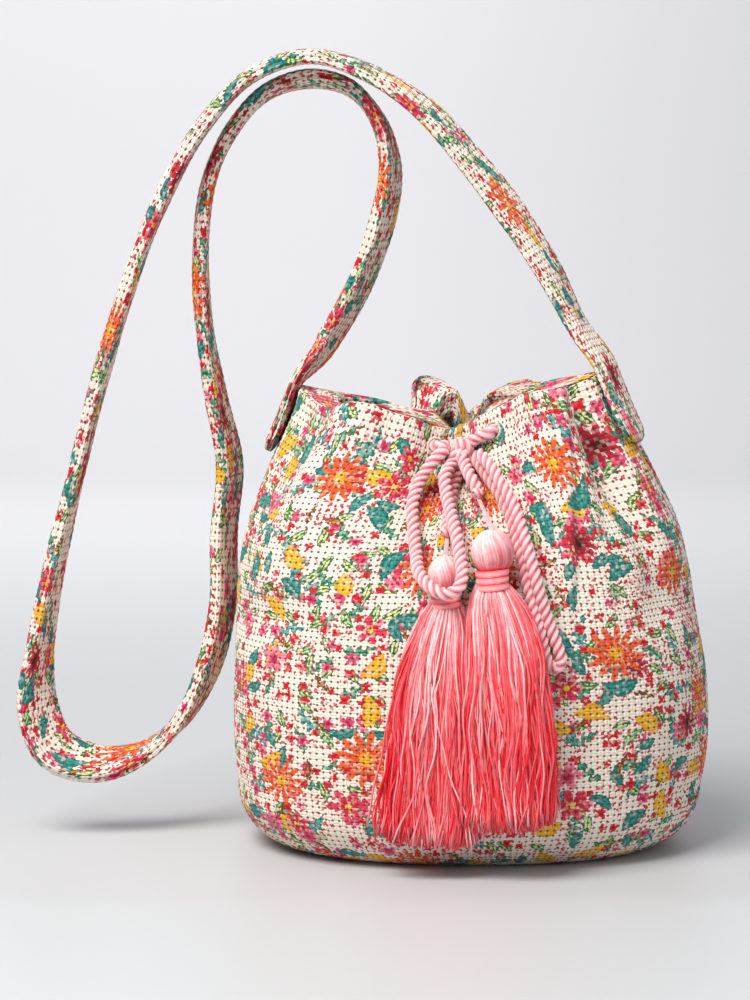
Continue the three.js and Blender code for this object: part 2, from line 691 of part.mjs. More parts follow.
function makeStrap() {
  const stations = strapStations();
  const curve = new THREE.CatmullRomCurve3(
    stations.map((s) => s.place),
    false,
    "centripetal",
  );
  const last = stations.length - 1;
  const turns = stations.map((s, i) => {
    if (s.turn !== undefined) return s.turn;
    const { thick, wide } = restAxes(curve.getTangent(i / last));
    return Math.atan2(s.width.dot(thick), s.width.dot(wide));
  });
  const steps = 2 * last;
  const rings = Array.from({ length: steps + 1 }, (_, i) => {
    const row = Math.min(last - 1, Math.floor(i / 2));
    const share = i / 2 - row;
    const turn = turns[row] + (turns[row + 1] - turns[row]) * share;
    const thick = stations[row].thick + (stations[row + 1].thick - stations[row].thick) * share;
    const size = i === 0 || i === steps ? endTaper : 1;
    const axes = restAxes(curve.getTangent(i / steps));
    const thickWay = axes.thick.clone().multiplyScalar(Math.cos(turn));
    thickWay.addScaledVector(axes.wide, -Math.sin(turn));
    const wideWay = axes.wide.clone().multiplyScalar(Math.cos(turn));
    wideWay.addScaledVector(axes.thick, Math.sin(turn));
    return Array.from({ length: strapSides }, (_, k) => {
      const a = (2 * Math.PI * (k + 0.5)) / strapSides;
      const soft = (value) => Math.sign(value) * Math.abs(value) ** strapCorner;
      return curve
        .getPoint(i / steps)
        .addScaledVector(thickWay, (soft(Math.cos(a)) * thick * size) / 2)
        .addScaledVector(wideWay, (soft(Math.sin(a)) * strapWidth * size) / 2);
    });
  });
  return skin(rings);
}

// Materials
const canvas = new THREE.MeshStandardMaterial({ color: 0xece0d0, roughness: 0.92, metalness: 0 });
const strapCanvas = new THREE.MeshStandardMaterial({ color: 0xe6d6c4, roughness: 0.9, metalness: 0 });
const twistedCord = new THREE.MeshStandardMaterial({ color: 0xf2a6ab, roughness: 0.8, metalness: 0 });
const tasselYarn = new THREE.MeshStandardMaterial({ color: 0xf0717c, roughness: 0.75, metalness: 0 });

// Assembly
const bag = new THREE.Group();
function addPiece(name, geometry, material) {
  const piece = new THREE.Mesh(geometry, material);
  piece.name = name;
  bag.add(piece);
}

addPiece("side_wall", makeSideWall(), canvas);
addPiece("base_panel", makeBasePanel(), canvas);
addPiece("neck_facing", makeNeckFacing(), canvas);
addPiece("shoulder_strap", makeStrap(), strapCanvas);
addPiece("drawcord_ring", cordAlong(ringRoute, cordDiameter, ringSteps), twistedCord);
addPiece("bow_knot", makeBowKnot(), twistedCord);
addPiece(
  "bow_loop_left",
  cordAlong(routePoints(leftLoopRoute, leftLoopDrop), cordDiameter, 24),
  twistedCord,
);
addPiece(
  "bow_loop_right",
  cordAlong(routePoints(rightLoopRoute, rightLoopDrop), cordDiameter, 28),
  twistedCord,
);
addPiece("cord_tail_left", makeTail(leftTailRoute, leftLoopDrop, 5), twistedCord);
addPiece("cord_tail_right", makeTail(rightTailRoute, rightLoopDrop, 3), twistedCord);
addPiece("tassel_left", makeLeftTassel(), tasselYarn);
addPiece("tassel_right", makeRightTassel(), tasselYarn);

export default bag;
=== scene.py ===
# %% [markdown]
# # A drawstring bucket bag of printed basket-weave canvas
# This lesson dresses a bag whose plain solids already stand in the scene. The real bag is a
# soft pouch of thick woven cotton on a round base. A twisted cord gathers its neck and is
# tied in a bow with two yarn tassels, and one padded strap is sewn to both sides. Each piece
# is built as its own mesh at its real size, and each finish is made of shader nodes.

# %% Start from the fixed frame
import math

import bmesh
import bpy
import numpy as np
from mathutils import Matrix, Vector


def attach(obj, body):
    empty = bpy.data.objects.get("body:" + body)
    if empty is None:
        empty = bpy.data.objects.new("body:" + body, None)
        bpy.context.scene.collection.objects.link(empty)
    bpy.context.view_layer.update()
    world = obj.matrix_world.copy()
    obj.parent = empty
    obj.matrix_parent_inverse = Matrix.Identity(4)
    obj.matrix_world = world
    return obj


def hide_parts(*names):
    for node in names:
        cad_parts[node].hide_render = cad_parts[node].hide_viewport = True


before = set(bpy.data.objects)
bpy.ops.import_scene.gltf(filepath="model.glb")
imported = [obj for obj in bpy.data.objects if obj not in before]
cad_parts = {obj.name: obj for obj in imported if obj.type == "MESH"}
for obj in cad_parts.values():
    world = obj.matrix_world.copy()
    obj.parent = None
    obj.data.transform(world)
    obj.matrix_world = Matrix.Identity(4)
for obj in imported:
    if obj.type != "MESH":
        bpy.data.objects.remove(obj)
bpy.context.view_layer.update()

MM = 0.001

# %% [markdown]
# ## Camera
# A product photo of a bag is taken from a little above its middle with a long lens, so that
# its sides stay nearly parallel. The camera comes first, because everything after it is
# judged through it.

# %% Camera
camera = bpy.data.objects.new("camera", bpy.data.cameras.new("camera"))
bpy.context.scene.collection.objects.link(camera)
camera.location = (-0.0488, -1.72, 0.33)
camera.rotation_euler = (math.radians(90 - 5.2), 0, 0)
camera.data.sensor_width = 36
camera.data.lens = 121.97
camera.data.clip_start = 0.05
bpy.context.scene.camera = camera
print("camera", tuple(camera.location), "lens", camera.data.lens)

# %% [markdown]
# ## Making a mesh from rows of points
# Cloth, rope and strap are all skins over rows of points, so one helper joins such a grid to
# a mesh. Points are in millimetres, and the flat cloth position of each point goes into a UV
# map, also in millimetres, so that weave and print keep their real size.

# %% Mesh helpers
def grid_faces(rows, columns, rows_close, columns_close):
    """Quads over a grid of points, and for each corner its row and column counted on past a join."""
    i = np.arange(rows if rows_close else rows - 1)[:, None]
    j = np.arange(columns if columns_close else columns - 1)[None, :]
    corners = [(i, j), (i, j + 1), (i + 1, j + 1), (i + 1, j)]
    quads = np.stack([(a % rows) * columns + b % columns + 0 * i * j for a, b in corners], -1)
    steps = np.stack([np.stack(np.broadcast_arrays(a, b), -1) for a, b in corners], -2)
    return quads.reshape(-1, 4), steps.reshape(-1, 4, 2)


def make_mesh(name, points, faces, cloth=None, shade=None, smooth=True):
    """A mesh object from points in mm; cloth holds each face corner's flat place, shade a value a point."""
    mesh = bpy.data.meshes.new(name)
    mesh.from_pydata((np.asarray(points, float) * MM).tolist(), [], [list(f) for f in faces])
    if cloth is not None:
        layer = mesh.uv_layers.new(name="cloth")
        layer.data.foreach_set("uv", np.asarray(cloth, np.float32).ravel())
    if shade is not None:
        mesh.attributes.new("shade", "FLOAT", "POINT").data.foreach_set("value", np.asarray(shade, np.float32))
    if smooth:
        mesh.shade_smooth()
    mesh.update()
    made = bpy.data.objects.new(name, mesh)
    bpy.context.scene.collection.objects.link(made)
    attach(made, "root")
    print(name, "-", len(mesh.polygons), "faces")
    return made


def closed_strip(rings):
    """Points, faces and corner steps of a tube over rings of points, with a fan on each end."""
    count, sides = rings.shape[:2]
    quads, steps = grid_faces(count, sides, False, True)
    points = np.vstack([rings.reshape(-1, 3), rings[0].mean(0), rings[-1].mean(0)])
    j = np.arange(sides)
    start = np.stack([(j + 1) % sides, j, np.full(sides, count * sides)], -1)
    last = (count - 1) * sides
    end = np.stack([last + j, last + (j + 1) % sides, np.full(sides, count * sides + 1)], -1)
    start_steps = np.stack([np.stack([0 * j, j + 1], -1), np.stack([0 * j, j], -1), np.stack([0 * j, j], -1)], 1)
    end_steps = np.stack([np.stack([0 * j + count - 1, j + k], -1) for k in (0, 1, 0)], 1)
    faces = [*quads.tolist(), *start.tolist(), *end.tolist()]
    corners = np.vstack([steps.reshape(-1, 2), start_steps.reshape(-1, 2), end_steps.reshape(-1, 2)])
    return points, faces, corners

# %% [markdown]
# ## The soft wall as a function
# The wall is one surface that is full and round low down and narrows to a pleated neck. The
# solids were made from a short table of sections, and the same tables are repeated here, so
# the fine cloth lies exactly where its solid is. An angle runs round the bag from the front,
# and a level runs up it: 0 at the base edge, 1 above the round corner, 2 at the rim.

# %% Sizes and tables of the wall
BAG_HEIGHT, HALF_WIDTH, HALF_DEPTH, CORNER = 232, 120, 104, 30
WALL, FOLD_REACH, RIM_DROP, RIM_START, DENT_REACH, TOUCH = 2.4, 18, 20, 0.6, 4, 0.3
SECTIONS = np.array([  # up, left, right, front, back, gather
    (0.1, 0.985, 0.965, 0.975, 0.975, 0), (0.2, 1.0, 0.995, 0.998, 0.995, 0),
    (0.3, 1.0, 1.0, 1.0, 1.0, 0), (0.4, 0.997, 0.99, 0.985, 0.985, 0),
    (0.5, 0.993, 0.96, 0.945, 0.945, 0.05), (0.6, 0.983, 0.93, 0.88, 0.88, 0.2),
    (0.7, 0.95, 0.875, 0.785, 0.785, 0.45), (0.8, 0.885, 0.77, 0.67, 0.67, 0.78),
    (0.88, 0.82, 0.68, 0.575, 0.575, 1), (0.94, 0.77, 0.62, 0.515, 0.52, 1),
    (1.0, 0.73, 0.575, 0.46, 0.485, 1),
])
PLEATS = [  # at, out, spread
    (-14, -1.0, 36), (-56, 0.3, 16), (-78, -0.25, 15), (-138, -0.9, 17), (-158, 0.65, 15),
    (179, -0.85, 17), (155, 0.45, 15), (120, -0.35, 20), (57, -0.6, 9), (42, 0.45, 13),
]
RIM = np.array([  # at, over
    (-180, -0.85), (-171, -0.35), (-163, 0), (-153, -0.05), (-145, -0.5), (-136, -0.9),
    (-120, -0.5), (-106, -0.15), (-90, -0.1), (-70, -0.5), (-52, -0.35), (-38, -0.7),
    (-24, -1.0), (-8, -0.9), (8, -0.62), (20, -0.3), (34, -0.05), (48, 0), (56, -0.05),
    (66, 0.25), (76, 0.4), (92, 0.35), (120, -0.05), (150, -0.05), (160, -0.15),
    (170, -0.6), (180, -0.85),
])
DENTS = [  # at, up, depth, spread, tall
    (-62, 0.52, 0.9, 26, 0.09), (-20, 0.6, 0.6, 22, 0.14), (62, 0.56, 1.0, 24, 0.1),
    (110, 0.4, 0.7, 28, 0.12), (170, 0.55, 1.0, 34, 0.1), (-130, 0.45, 0.8, 26, 0.12),
]
SQUARENESS = 2.3
CORNER_UP = CORNER / BAG_HEIGHT

# %% The wall's surface
def rise(value, low, high):
    t = np.clip((value - low) / (high - low), 0, 1)
    return t * t * (3 - 2 * t)


def bump(distance, half):
    return np.cos(np.minimum(1, np.abs(distance) / half) * np.pi / 2) ** 2


def between(a, b):
    return (a - b + 180) % 360 - 180


def smooth_column(keys, values, at):
    """A smooth curve through a table's rows, the same one that the solids use."""
    keys, values, at = np.asarray(keys, float), np.asarray(values, float), np.asarray(at, float)
    last = len(keys) - 1
    i = np.clip(np.searchsorted(keys, at, side="left") - 1, 0, last - 1)
    span = keys[i + 1] - keys[i]
    t = np.clip((at - keys[i]) / span, 0, 1)

    def slope(k):
        low, high = np.clip(k - 1, 0, last), np.clip(k + 1, 0, last)
        return (values[high] - values[low]) / (keys[high] - keys[low]) * span

    ease = t * t * (3 - 2 * t)
    bend = slope(i) * t * (1 - t) ** 2 - slope(i + 1) * t * t * (1 - t)
    return values[i] + (values[i + 1] - values[i]) * ease + bend


def wall_point(angle, level):
    """Points of the wall's outer face in mm."""
    angle, level = np.broadcast_arrays(np.asarray(angle, float), np.asarray(level, float))
    low = level < 1
    turn = np.minimum(level, 1) * np.pi / 2
    inset = np.where(low, CORNER * (1 - np.sin(turn)), 0)
    up = np.where(low, CORNER_UP, CORNER_UP + (level - 1) * (1 - CORNER_UP))
    z = np.where(low, CORNER * (1 - np.cos(turn)), up * BAG_HEIGHT)
    half = {
        name: smooth_column(SECTIONS[:, 0], SECTIONS[:, k], up) * size - inset
        for k, (name, size) in enumerate(
            (("left", HALF_WIDTH), ("right", HALF_WIDTH), ("front", HALF_DEPTH), ("back", HALF_DEPTH)), 1
        )
    }
    s, c = np.sin(np.radians(angle)), np.cos(np.radians(angle))
    across = np.abs(s) / np.where(s > 0, half["right"], half["left"])
    deep = np.abs(c) / np.where(c > 0, half["front"], half["back"])
    radius = (across**SQUARENESS + deep**SQUARENESS) ** (-1 / SQUARENESS)
    gather = np.where(low, 0, smooth_column(SECTIONS[:, 0], SECTIONS[:, 5], up))
    for at, out, spread in PLEATS:
        radius = radius + out * FOLD_REACH * gather * bump(between(angle, at), spread)
    over = smooth_column(RIM[:, 0], RIM[:, 1], between(angle, 0))
    z = z + over * RIM_DROP * rise(up, RIM_START, 1)
    for at, dent_up, depth, spread, tall in DENTS:
        share = bump(between(angle, at), spread) * bump(up - dent_up, tall)
        radius = radius - depth * DENT_REACH * share * rise(level, 0.9, 1.1)
    return np.stack([radius * s, -radius * c, z], -1)


def unit(v):
    return v / np.maximum(np.linalg.norm(v, axis=-1, keepdims=True), 1e-9)


def wall_normal(angle, level):
    level = np.asarray(level, float)
    high = np.minimum(2, level + 0.004)
    low = np.maximum(0, high - 0.008)
    around = wall_point(angle + 0.5, level) - wall_point(angle - 0.5, level)
    along = wall_point(angle, high) - wall_point(angle, low)
    return unit(np.cross(around, along))


def beside_wall(angle, level, distance):
    """A point a real distance off the wall, moved straight towards or away from the bag's axis."""
    outward = np.array([math.sin(math.radians(angle)), -math.cos(math.radians(angle)), 0])
    lean = max(0.5, float(wall_normal(angle, level) @ outward))
    return wall_point(angle, level) + outward * distance / lean


def level_at_drop(drop):
    return 1 + (1 - drop / BAG_HEIGHT - CORNER_UP) / (1 - CORNER_UP)


def front_of_wall(x, z):
    """Where straight looks from the front meet the wall, and its slope there, for many places at once."""
    x, z = np.broadcast_arrays(np.asarray(x, float), np.asarray(z, float))
    left, right = np.full(x.shape, -70.0), np.full(x.shape, 70.0)
    for _ in range(16):
        angle = (left + right) / 2
        low, high = np.zeros(x.shape), np.full(x.shape, 2.0)
        for _ in range(16):
            level = (low + high) / 2
            under = wall_point(angle, level)[..., 2] < z
            low, high = np.where(under, level, low), np.where(under, high, level)
        before = wall_point(angle, level)[..., 0] < x
        left, right = np.where(before, angle, left), np.where(before, right, angle)
    return wall_point(angle, level)[..., 1], 1 / np.maximum(0.6, -wall_normal(angle, level)[..., 1])


print("rim at the front:", np.round(wall_point(-7, 2), 1).tolist())

# %% [markdown]
# ## The twisted cord
# The drawcord is soft cotton rope, three strands laid round each other. Seen close, a rope is
# not a smooth tube: its outline has lobes that turn along it. So each cord is a tube whose
# section is the outline of three touching strands, and the section turns once in every lay
# length. The routes are the chosen points of the solids: from the knot down round the loop,
# up again through the knot, and down to the tail's end knot.

# %% Cord sizes and routes
CORD, CASING_DROP, CASING_EASE, LEAD_START, LEAD_LIFT = 6.5, 11, 3.4, 9.8, 2.2
KNOT_ANGLE, SLIT_SPREAD, SLIT_BLEND, KNOT_SIZE, KNOT_CLEAR = -7, 21, 9, (12, 15, 11), 0.9
LAY_LENGTH, STRANDS = 13.0, 3
LEFT_DROP, RIGHT_DROP, END_KNOT = 65.5, 103, 7.6
casing_level = level_at_drop(CASING_DROP)
knot_seat = beside_wall(KNOT_ANGLE, casing_level, KNOT_SIZE[1] / 2 + KNOT_CLEAR)

LEFT_LOOP = [  # across and down in shares of the loop's drop, proud in cord diameters
    (-0.117, 0.01, 1.1), (-0.16, 0.04, 1.1), (-0.23, 0.11, 0.8), (-0.31, 0.23, 0.15),
    (-0.374, 0.4, 0), (-0.37, 0.574, 0), (-0.352, 0.747, 0.5), (-0.332, 0.87, 1.72),
    (-0.24, 0.965, 2.54), (-0.137, 1.0, 2.7), (-0.055, 0.965, 2.7), (-0.02, 0.88, 2.45),
    (-0.035, 0.73, 1.8), (-0.065, 0.562, 1.4), (-0.122, 0.33, 1.2), (-0.13, 0.2, 1.5),
    (-0.064, 0.1, 1.1),
]
RIGHT_LOOP = [
    (0.07, 0.015, 0.85), (0.125, 0.065, 1.05), (0.175, 0.145, 1.1), (0.23, 0.24, 1.1),
    (0.272, 0.36, 1.1), (0.31, 0.49, 1.05), (0.345, 0.62, 0.75), (0.39, 0.77, 0.2),
    (0.437, 0.9, 0), (0.452, 0.965, 0), (0.425, 1.0, 0), (0.387, 0.965, 0),
    (0.365, 0.875, 0), (0.335, 0.755, 0), (0.3, 0.62, 0), (0.272, 0.49, 0),
    (0.24, 0.355, 0), (0.19, 0.23, 0), (0.125, 0.135, 0), (0.062, 0.05, 0),
]
LEFT_TAIL = [(-0.02, 0.178, 0.1), (-0.065, 0.27, 0.03), (-0.1, 0.44, 0), (-0.12, 0.6, 0.12)]
RIGHT_TAIL = [(0.01, 0.07, 0.95), (0.04, 0.135, 0.95), (0.075, 0.2, 0.5)]


def front_place(across, down, proud, radius=CORD / 2):
    x, z = knot_seat[0] + across, knot_seat[2] - down
    y, slope = front_of_wall(x, z)
    return np.stack([x, y - (radius + 2 * TOUCH + proud * CORD) * slope, z], -1)


def route_points(route, drop):
    across, down, proud = np.array(route).T
    return front_place(across * drop, down * drop, proud)


def smooth_route(points, step):
    """A centripetal curve through points, with stations a step apart, and each point's place along it."""
    points = np.asarray(points, float)
    ends = np.vstack([2 * points[0] - points[1], points, 2 * points[-1] - points[-2]])
    line = []
    for k in range(1, len(ends) - 2):
        p0, p1, p2, p3 = ends[k - 1 : k + 3]
        d0, d1, d2 = (max(1e-4, np.linalg.norm(b - a) ** 0.5) for a, b in ((p0, p1), (p1, p2), (p2, p3)))
        m1 = ((p1 - p0) / d0 - (p2 - p0) / (d0 + d1) + (p2 - p1) / d1) * d1
        m2 = ((p2 - p1) / d1 - (p3 - p1) / (d1 + d2) + (p3 - p2) / d2) * d1
        t = np.linspace(0, 1, 24, endpoint=False)[:, None]
        line.append(
            p1 + m1 * t + (3 * (p2 - p1) - 2 * m1 - m2) * t**2 + (2 * (p1 - p2) + m1 + m2) * t**3
        )
    line = np.vstack([*line, points[-1:]])
    along = np.concatenate([[0], np.cumsum(np.linalg.norm(np.diff(line, axis=0), axis=1))])
    at = np.linspace(0, along[-1], max(2, int(round(along[-1] / step)) + 1))
    return np.stack([np.interp(at, along, line[:, k]) for k in range(3)], -1), along[::24]


knot_inside = [
    knot_seat + np.array([-2.5, -1.5, -1.0]), knot_seat + np.array([0.5, 1.5, 1.5]),
    knot_seat + np.array([1.5, 3.8, -3.0]),
]
left_points = [*route_points(LEFT_LOOP, LEFT_DROP), *knot_inside, *route_points(LEFT_TAIL, LEFT_DROP)]
knot_inside_right = [
    knot_seat + np.array([1.5, 3.0, 0.5]), knot_seat + np.array([-1.0, -0.5, 1.0]),
    knot_seat + np.array([-0.5, -3.0, -3.0]),
]
right_points = [
    *route_points(RIGHT_LOOP, RIGHT_DROP), *knot_inside_right, *route_points(RIGHT_TAIL, RIGHT_DROP)
]


def eased_in_knot(line):
    """The same line with its hidden turns inside the knot eased."""
    line = line.copy()
    for _ in range(70):
        hidden = bump(np.linalg.norm(line - knot_seat, axis=1), 10)[1:-1, None]
        line[1:-1] += 0.5 * hidden * ((line[:-2] + line[2:]) / 2 - line[1:-1])
    return line


left_line = eased_in_knot(smooth_route(left_points, 0.6)[0])
right_line = eased_in_knot(smooth_route(right_points, 0.6)[0])
line_length = lambda line: float(np.linalg.norm(np.diff(line, axis=0), axis=1).sum())
print("left cord", round(line_length(left_line)), "mm, right cord", round(line_length(right_line)), "mm")

# %% The drawcord's run round the neck
WALL_SIDES = 72
wall_angles = np.arange(WALL_SIDES) * 360 / WALL_SIDES


def ring_inside(level, depth, smoothing):
    """A smooth ring of points at least so deep inside the wall."""
    around = wall_point(wall_angles, level)
    nxt = np.roll(around, -1, axis=0)
    normal = wall_normal(wall_angles, np.full(WALL_SIDES, level))
    clear = []
    for i in range(WALL_SIDES):
        need, share = depth / math.hypot(normal[i, 0], normal[i, 1]), 1.0
        while True:
            p = around[i, :2] * share
            a, d = around[:, :2], nxt[:, :2] - around[:, :2]
            t = np.clip(((p - a) * d).sum(1) / (d * d).sum(1), 0, 1)
            if np.linalg.norm(a + d * t[:, None] - p, axis=1).min() >= need:
                break
            share -= 0.01
        clear.append(np.linalg.norm(around[i, :2]) * share)
    near = lambda values: np.stack([np.roll(values, k) for k in range(-smoothing, smoothing + 1)])
    radius = near(near(np.array(clear)).min(0)).mean(0)
    turn = np.radians(wall_angles)
    return np.stack([radius * np.sin(turn), -radius * np.cos(turn), around[:, 2]], -1)


casing_ring = ring_inside(casing_level, WALL + CORD / 2 + CASING_EASE / 2, 2)


def drawcord_point(angle):
    away = abs(between(angle, KNOT_ANGLE))
    at = (angle % 360) / (360 / WALL_SIDES)
    i = int(at) % WALL_SIDES
    inside = casing_ring[i] + (casing_ring[(i + 1) % WALL_SIDES] - casing_ring[i]) * (at - int(at))
    outside = beside_wall(angle, casing_level, CORD / 2 + 2 * TOUCH) + np.array([0, 0, LEAD_LIFT])
    return outside + (inside - outside) * rise(away, SLIT_SPREAD - SLIT_BLEND, SLIT_SPREAD + SLIT_BLEND)


ring_angles = KNOT_ANGLE + np.linspace(LEAD_START, 360 - LEAD_START, 61)
ring_run = [drawcord_point(a) for a in ring_angles]
# The two visible ends run on into the knot
ring_run = [knot_seat + (0.5, 2.5, 0), *ring_run, knot_seat + (-1.5, 2.5, 0)]
ring_line, _ = smooth_route(ring_run, 0.8)
print("cord in the casing", round(line_length(ring_line)), "mm")

# %% [markdown]
# A tube needs a frame that doesn't spin as its line bends. Each station's side direction is
# the last one carried over and made square to the line again, and the strands' turn is added
# on top of that.

# %% Twisted tube
def carried_frame(line):
    """The line's directions, and two directions square to it that don't spin."""
    along = unit(np.gradient(line, axis=0))
    side = np.zeros_like(line)
    start = np.cross(along[0], [0.3, 0.2, 1.0])
    side[0] = start / np.linalg.norm(start)
    for i in range(1, len(line)):
        v = side[i - 1] - along[i] * (side[i - 1] @ along[i])
        side[i] = v / np.linalg.norm(v)
    return along, side, np.cross(along, side)


def rope_rings(line, diameter, sides=28, lay=LAY_LENGTH, strands=STRANDS, ends=0.0):
    """Rings of a rope's lobed section, turning along the line; ends narrows it to round ends."""
    _, side, up = carried_frame(line)
    along = np.concatenate([[0], np.cumsum(np.linalg.norm(np.diff(line, axis=0), axis=1))])
    turn = np.linspace(0, 2 * np.pi, sides, endpoint=False)
    half = np.pi / strands
    local = (turn[None, :] - 2 * np.pi * along[:, None] / lay + half) % (2 * half) - half
    middle = math.sin(half) / (1 + math.sin(half))
    strand = 1.02 * (1 - middle)
    reach = middle * np.cos(local) + np.sqrt(np.maximum(strand**2 - (middle * np.sin(local)) ** 2, 0))
    reach = reach / (middle + strand) * diameter / 2
    if ends:
        from_end = np.minimum(along, along[-1] - along)
        reach = reach * np.sqrt(np.clip(1 - (1 - np.clip(from_end / ends, 0.02, 1)) ** 2, 0, 1))[:, None]
    across = np.cos(turn)[None, :, None] * side[:, None] + np.sin(turn)[None, :, None] * up[:, None]
    rings = line[:, None] + across * reach[..., None]
    # Painted highlight on each strand's crest and painted shade in the valleys between strands: 1 on a crest, 0 deep in
    # the valleys
    painted_twist_light = np.clip((reach / reach.max(axis=1, keepdims=True) - 0.6) / 0.4, 0, 1) ** 1.2
    return rings, along, painted_twist_light


def make_rope(name, line, diameter, slot="twisted_cord", **shape):
    rings, along, painted_twist_light = rope_rings(line, diameter, **shape)
    points, faces, corners = closed_strip(rings)
    sides = rings.shape[1]
    cloth = np.stack([corners[:, 1] / sides * math.pi * diameter, along[corners[:, 0]]], -1)
    # The shade attribute carries the twist's painted light and shade to the rope's colour
    shade = np.concatenate([painted_twist_light.ravel(), [0.5, 0.5]])
    made = make_mesh(name, points, faces, cloth, shade)
    return made

# %% The cords
def end_knot_line(at, size):
    """A small closed turn of cord for a stopper knot."""
    turn = np.linspace(0, 1.85 * np.pi, 30)
    radius = size * 0.2
    return at + np.stack([radius * np.cos(turn), radius * np.sin(turn), size * 0.1 * np.sin(2 * turn)], -1)


drawcord = make_rope("drawcord_in_casing", ring_line, CORD)
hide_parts("drawcord_ring")
left_cord = make_rope("left_bow_cord", left_line, CORD, ends=2.0)
right_cord = make_rope("right_bow_cord", right_line, CORD, ends=2.0)
left_end_knot = make_rope("left_end_knot", end_knot_line(left_line[-1], END_KNOT), END_KNOT * 0.55, ends=1.5)
right_end_knot = make_rope("right_end_knot", end_knot_line(right_line[-1], END_KNOT), END_KNOT * 0.55, ends=1.5)

# %% [markdown]
# ## The bow's knot
# Where the bow is tied, one turn of cord crosses over the front of the others. Two plump
# closed turns, leaning opposite ways and sunk into each other, read as that knot.

# %% Bow knot
def knot_turn(lean, wide, tall, deep, forward):
    """A closed turn of cord round the knot's middle, leaning sideways by an angle."""
    turn = np.linspace(0, 2 * np.pi, 61)[:-1]
    x, z = wide * np.sin(turn) * 0.35, tall * np.cos(turn)
    y = -deep * np.sin(turn)
    c, s = math.cos(lean), math.sin(lean)
    return knot_seat + np.array([0, forward, 0]) + np.stack([x * c - z * s, y, x * s + z * c], -1)


knot_lines = [knot_turn(0.5, 5.5, 2.6, 4.3, 0.0), knot_turn(-0.6, 5.0, 2.4, 3.4, -0.4)]
knot_pieces = []
for k, line in enumerate(knot_lines):
    turn_line = np.vstack([line, line[:1]])
    knot_pieces.append(make_rope(f"bow_knot_turn_{k + 1}", turn_line, CORD * 0.92))
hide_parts("bow_knot")

# %% [markdown]
# ## Tassels
# A tassel is a hank of yarn folded over a cord end: the fold makes a round head, a few turns
# of yarn bind its neck, and below it every strand hangs by itself. So the head is a ball
# with fine ridges that run over it, the neck is a stack of turns, and the skirt is hundreds
# of thin threads in locks, fanned out to the width of its solid and lying on the bag.

# %% Tassel sizes
HANG = {  # across and down of the head, lean of the skirt, proud of the wall
    "left": dict(head=18, neck=15.5, neck_tall=7, bottom=11, spread=42, flat=14,
                 drop=LEFT_DROP, across=-0.137, down=0.89, lean=-0.17, proud=0.0, line=left_line),
    "right": dict(head=21, neck=17, neck_tall=8, bottom=22, spread=43, flat=16,
                  drop=RIGHT_DROP, across=0.13, down=0.455, lean=0.2, proud=0.55, line=right_line),
}
SKIRT = np.array([  # down, open, lean
    (0, 0.02, 0), (0.08, 0.4, 0.2), (0.24, 0.68, 0.6), (0.48, 0.84, 0.85), (0.76, 0.94, 0.95),
    (0.975, 1, 1), (1, 1, 1),
])
THREAD, BELLY_UP = 1.0, 0.3


def tassel_places(size):
    radius = size["head"] / 2
    ball = front_place(size["across"] * size["drop"], size["down"] * size["drop"], size["proud"], radius)
    neck_top = ball[2] - radius * 0.86
    neck_bottom = neck_top - size["neck_tall"]

    def lying(z, deep):
        y, slope = front_of_wall(ball[0], np.maximum(z, BELLY_UP * BAG_HEIGHT))
        return y - (deep + 2 * TOUCH + size["proud"] * CORD) * slope

    return ball, radius, neck_top, neck_bottom, lying


# %% Tassel heads and necks
def make_head(side, size):
    """The ball with ridges of yarn over it and the thread that it hangs by, on one mesh."""
    ball, radius, neck_top, neck_bottom, lying = tassel_places(size)
    sides, rows = 320, 26
    turn = np.linspace(0, 2 * np.pi, sides, endpoint=False)[None, :]
    tilt = np.linspace(0.12, np.pi - 0.5, rows)[:, None]
    # Strands of uneven width run over the ball, each with its own tone
    dice = np.random.default_rng(3)
    strands = 110
    edges = np.cumsum(dice.uniform(0.5, 1.5, strands))
    edges = np.concatenate([[0], edges / edges[-1]])
    at = ((turn + 0.25 * np.cos(tilt) + 0.05 * np.sin(3 * tilt)) / (2 * np.pi)) % 1
    strand = np.clip(np.searchsorted(edges, at, side="right") - 1, 0, strands - 1)
    within = (at - edges[strand]) / (edges[strand + 1] - edges[strand]) * 2 - 1
    rounded = np.sqrt(np.maximum(1 - within**2, 0))
    strand_tone = dice.normal(0, 0.08, strands)[strand]
    ridge = 0.55 * (rounded - 0.5) * np.sin(tilt) ** 0.5
    reach = radius - 0.35 + ridge + 0.35 * np.sin(3 * turn + 1.0) * np.sin(tilt)
    pts = np.stack([
        reach * np.sin(tilt) * np.cos(turn), reach * np.sin(tilt) * np.sin(turn),
        1.08 * reach * np.cos(tilt) + 0 * turn,
    ], -1) + ball
    top = size["line"][-1] - np.array([0, 0, END_KNOT / 2 - 1.0])
    stem_rows = []
    for share in (0.0, 0.35, 0.7, 0.92):
        middle = top + (pts[0].mean(0) - top) * share
        flare = 1.05 + 1.1 * share**6
        stem_rows.append(middle + np.concatenate([np.cos(turn), np.sin(turn), 0 * turn]).T * flare)
    rings = np.concatenate([np.stack(stem_rows), pts])[::-1]
    points, faces, corners = closed_strip(rings)
    total = len(rings)
    # Painted light: each strand is lighter on its crest, and the ball is lighter towards the top and the left, where
    # the key light falls; strand_tone is each strand's own tone
    tone = 0.7 + 0.24 * (rounded - 0.5) + strand_tone + 0.18 * np.cos(tilt) - 0.12 * np.cos(turn)
    shade_row = np.concatenate([np.clip(tone, 0, 1)[::-1], np.full((len(stem_rows), sides), 0.85)])
    cloth = np.stack([corners[:, 1] / sides * math.pi * size["head"], corners[:, 0] * 1.0], -1)
    shade = np.concatenate([np.broadcast_to(shade_row, (total, sides)).ravel(), [0.5, 0.5]])
    made = make_mesh(f"tassel_head_{side}", points, faces, cloth, shade)
    return made


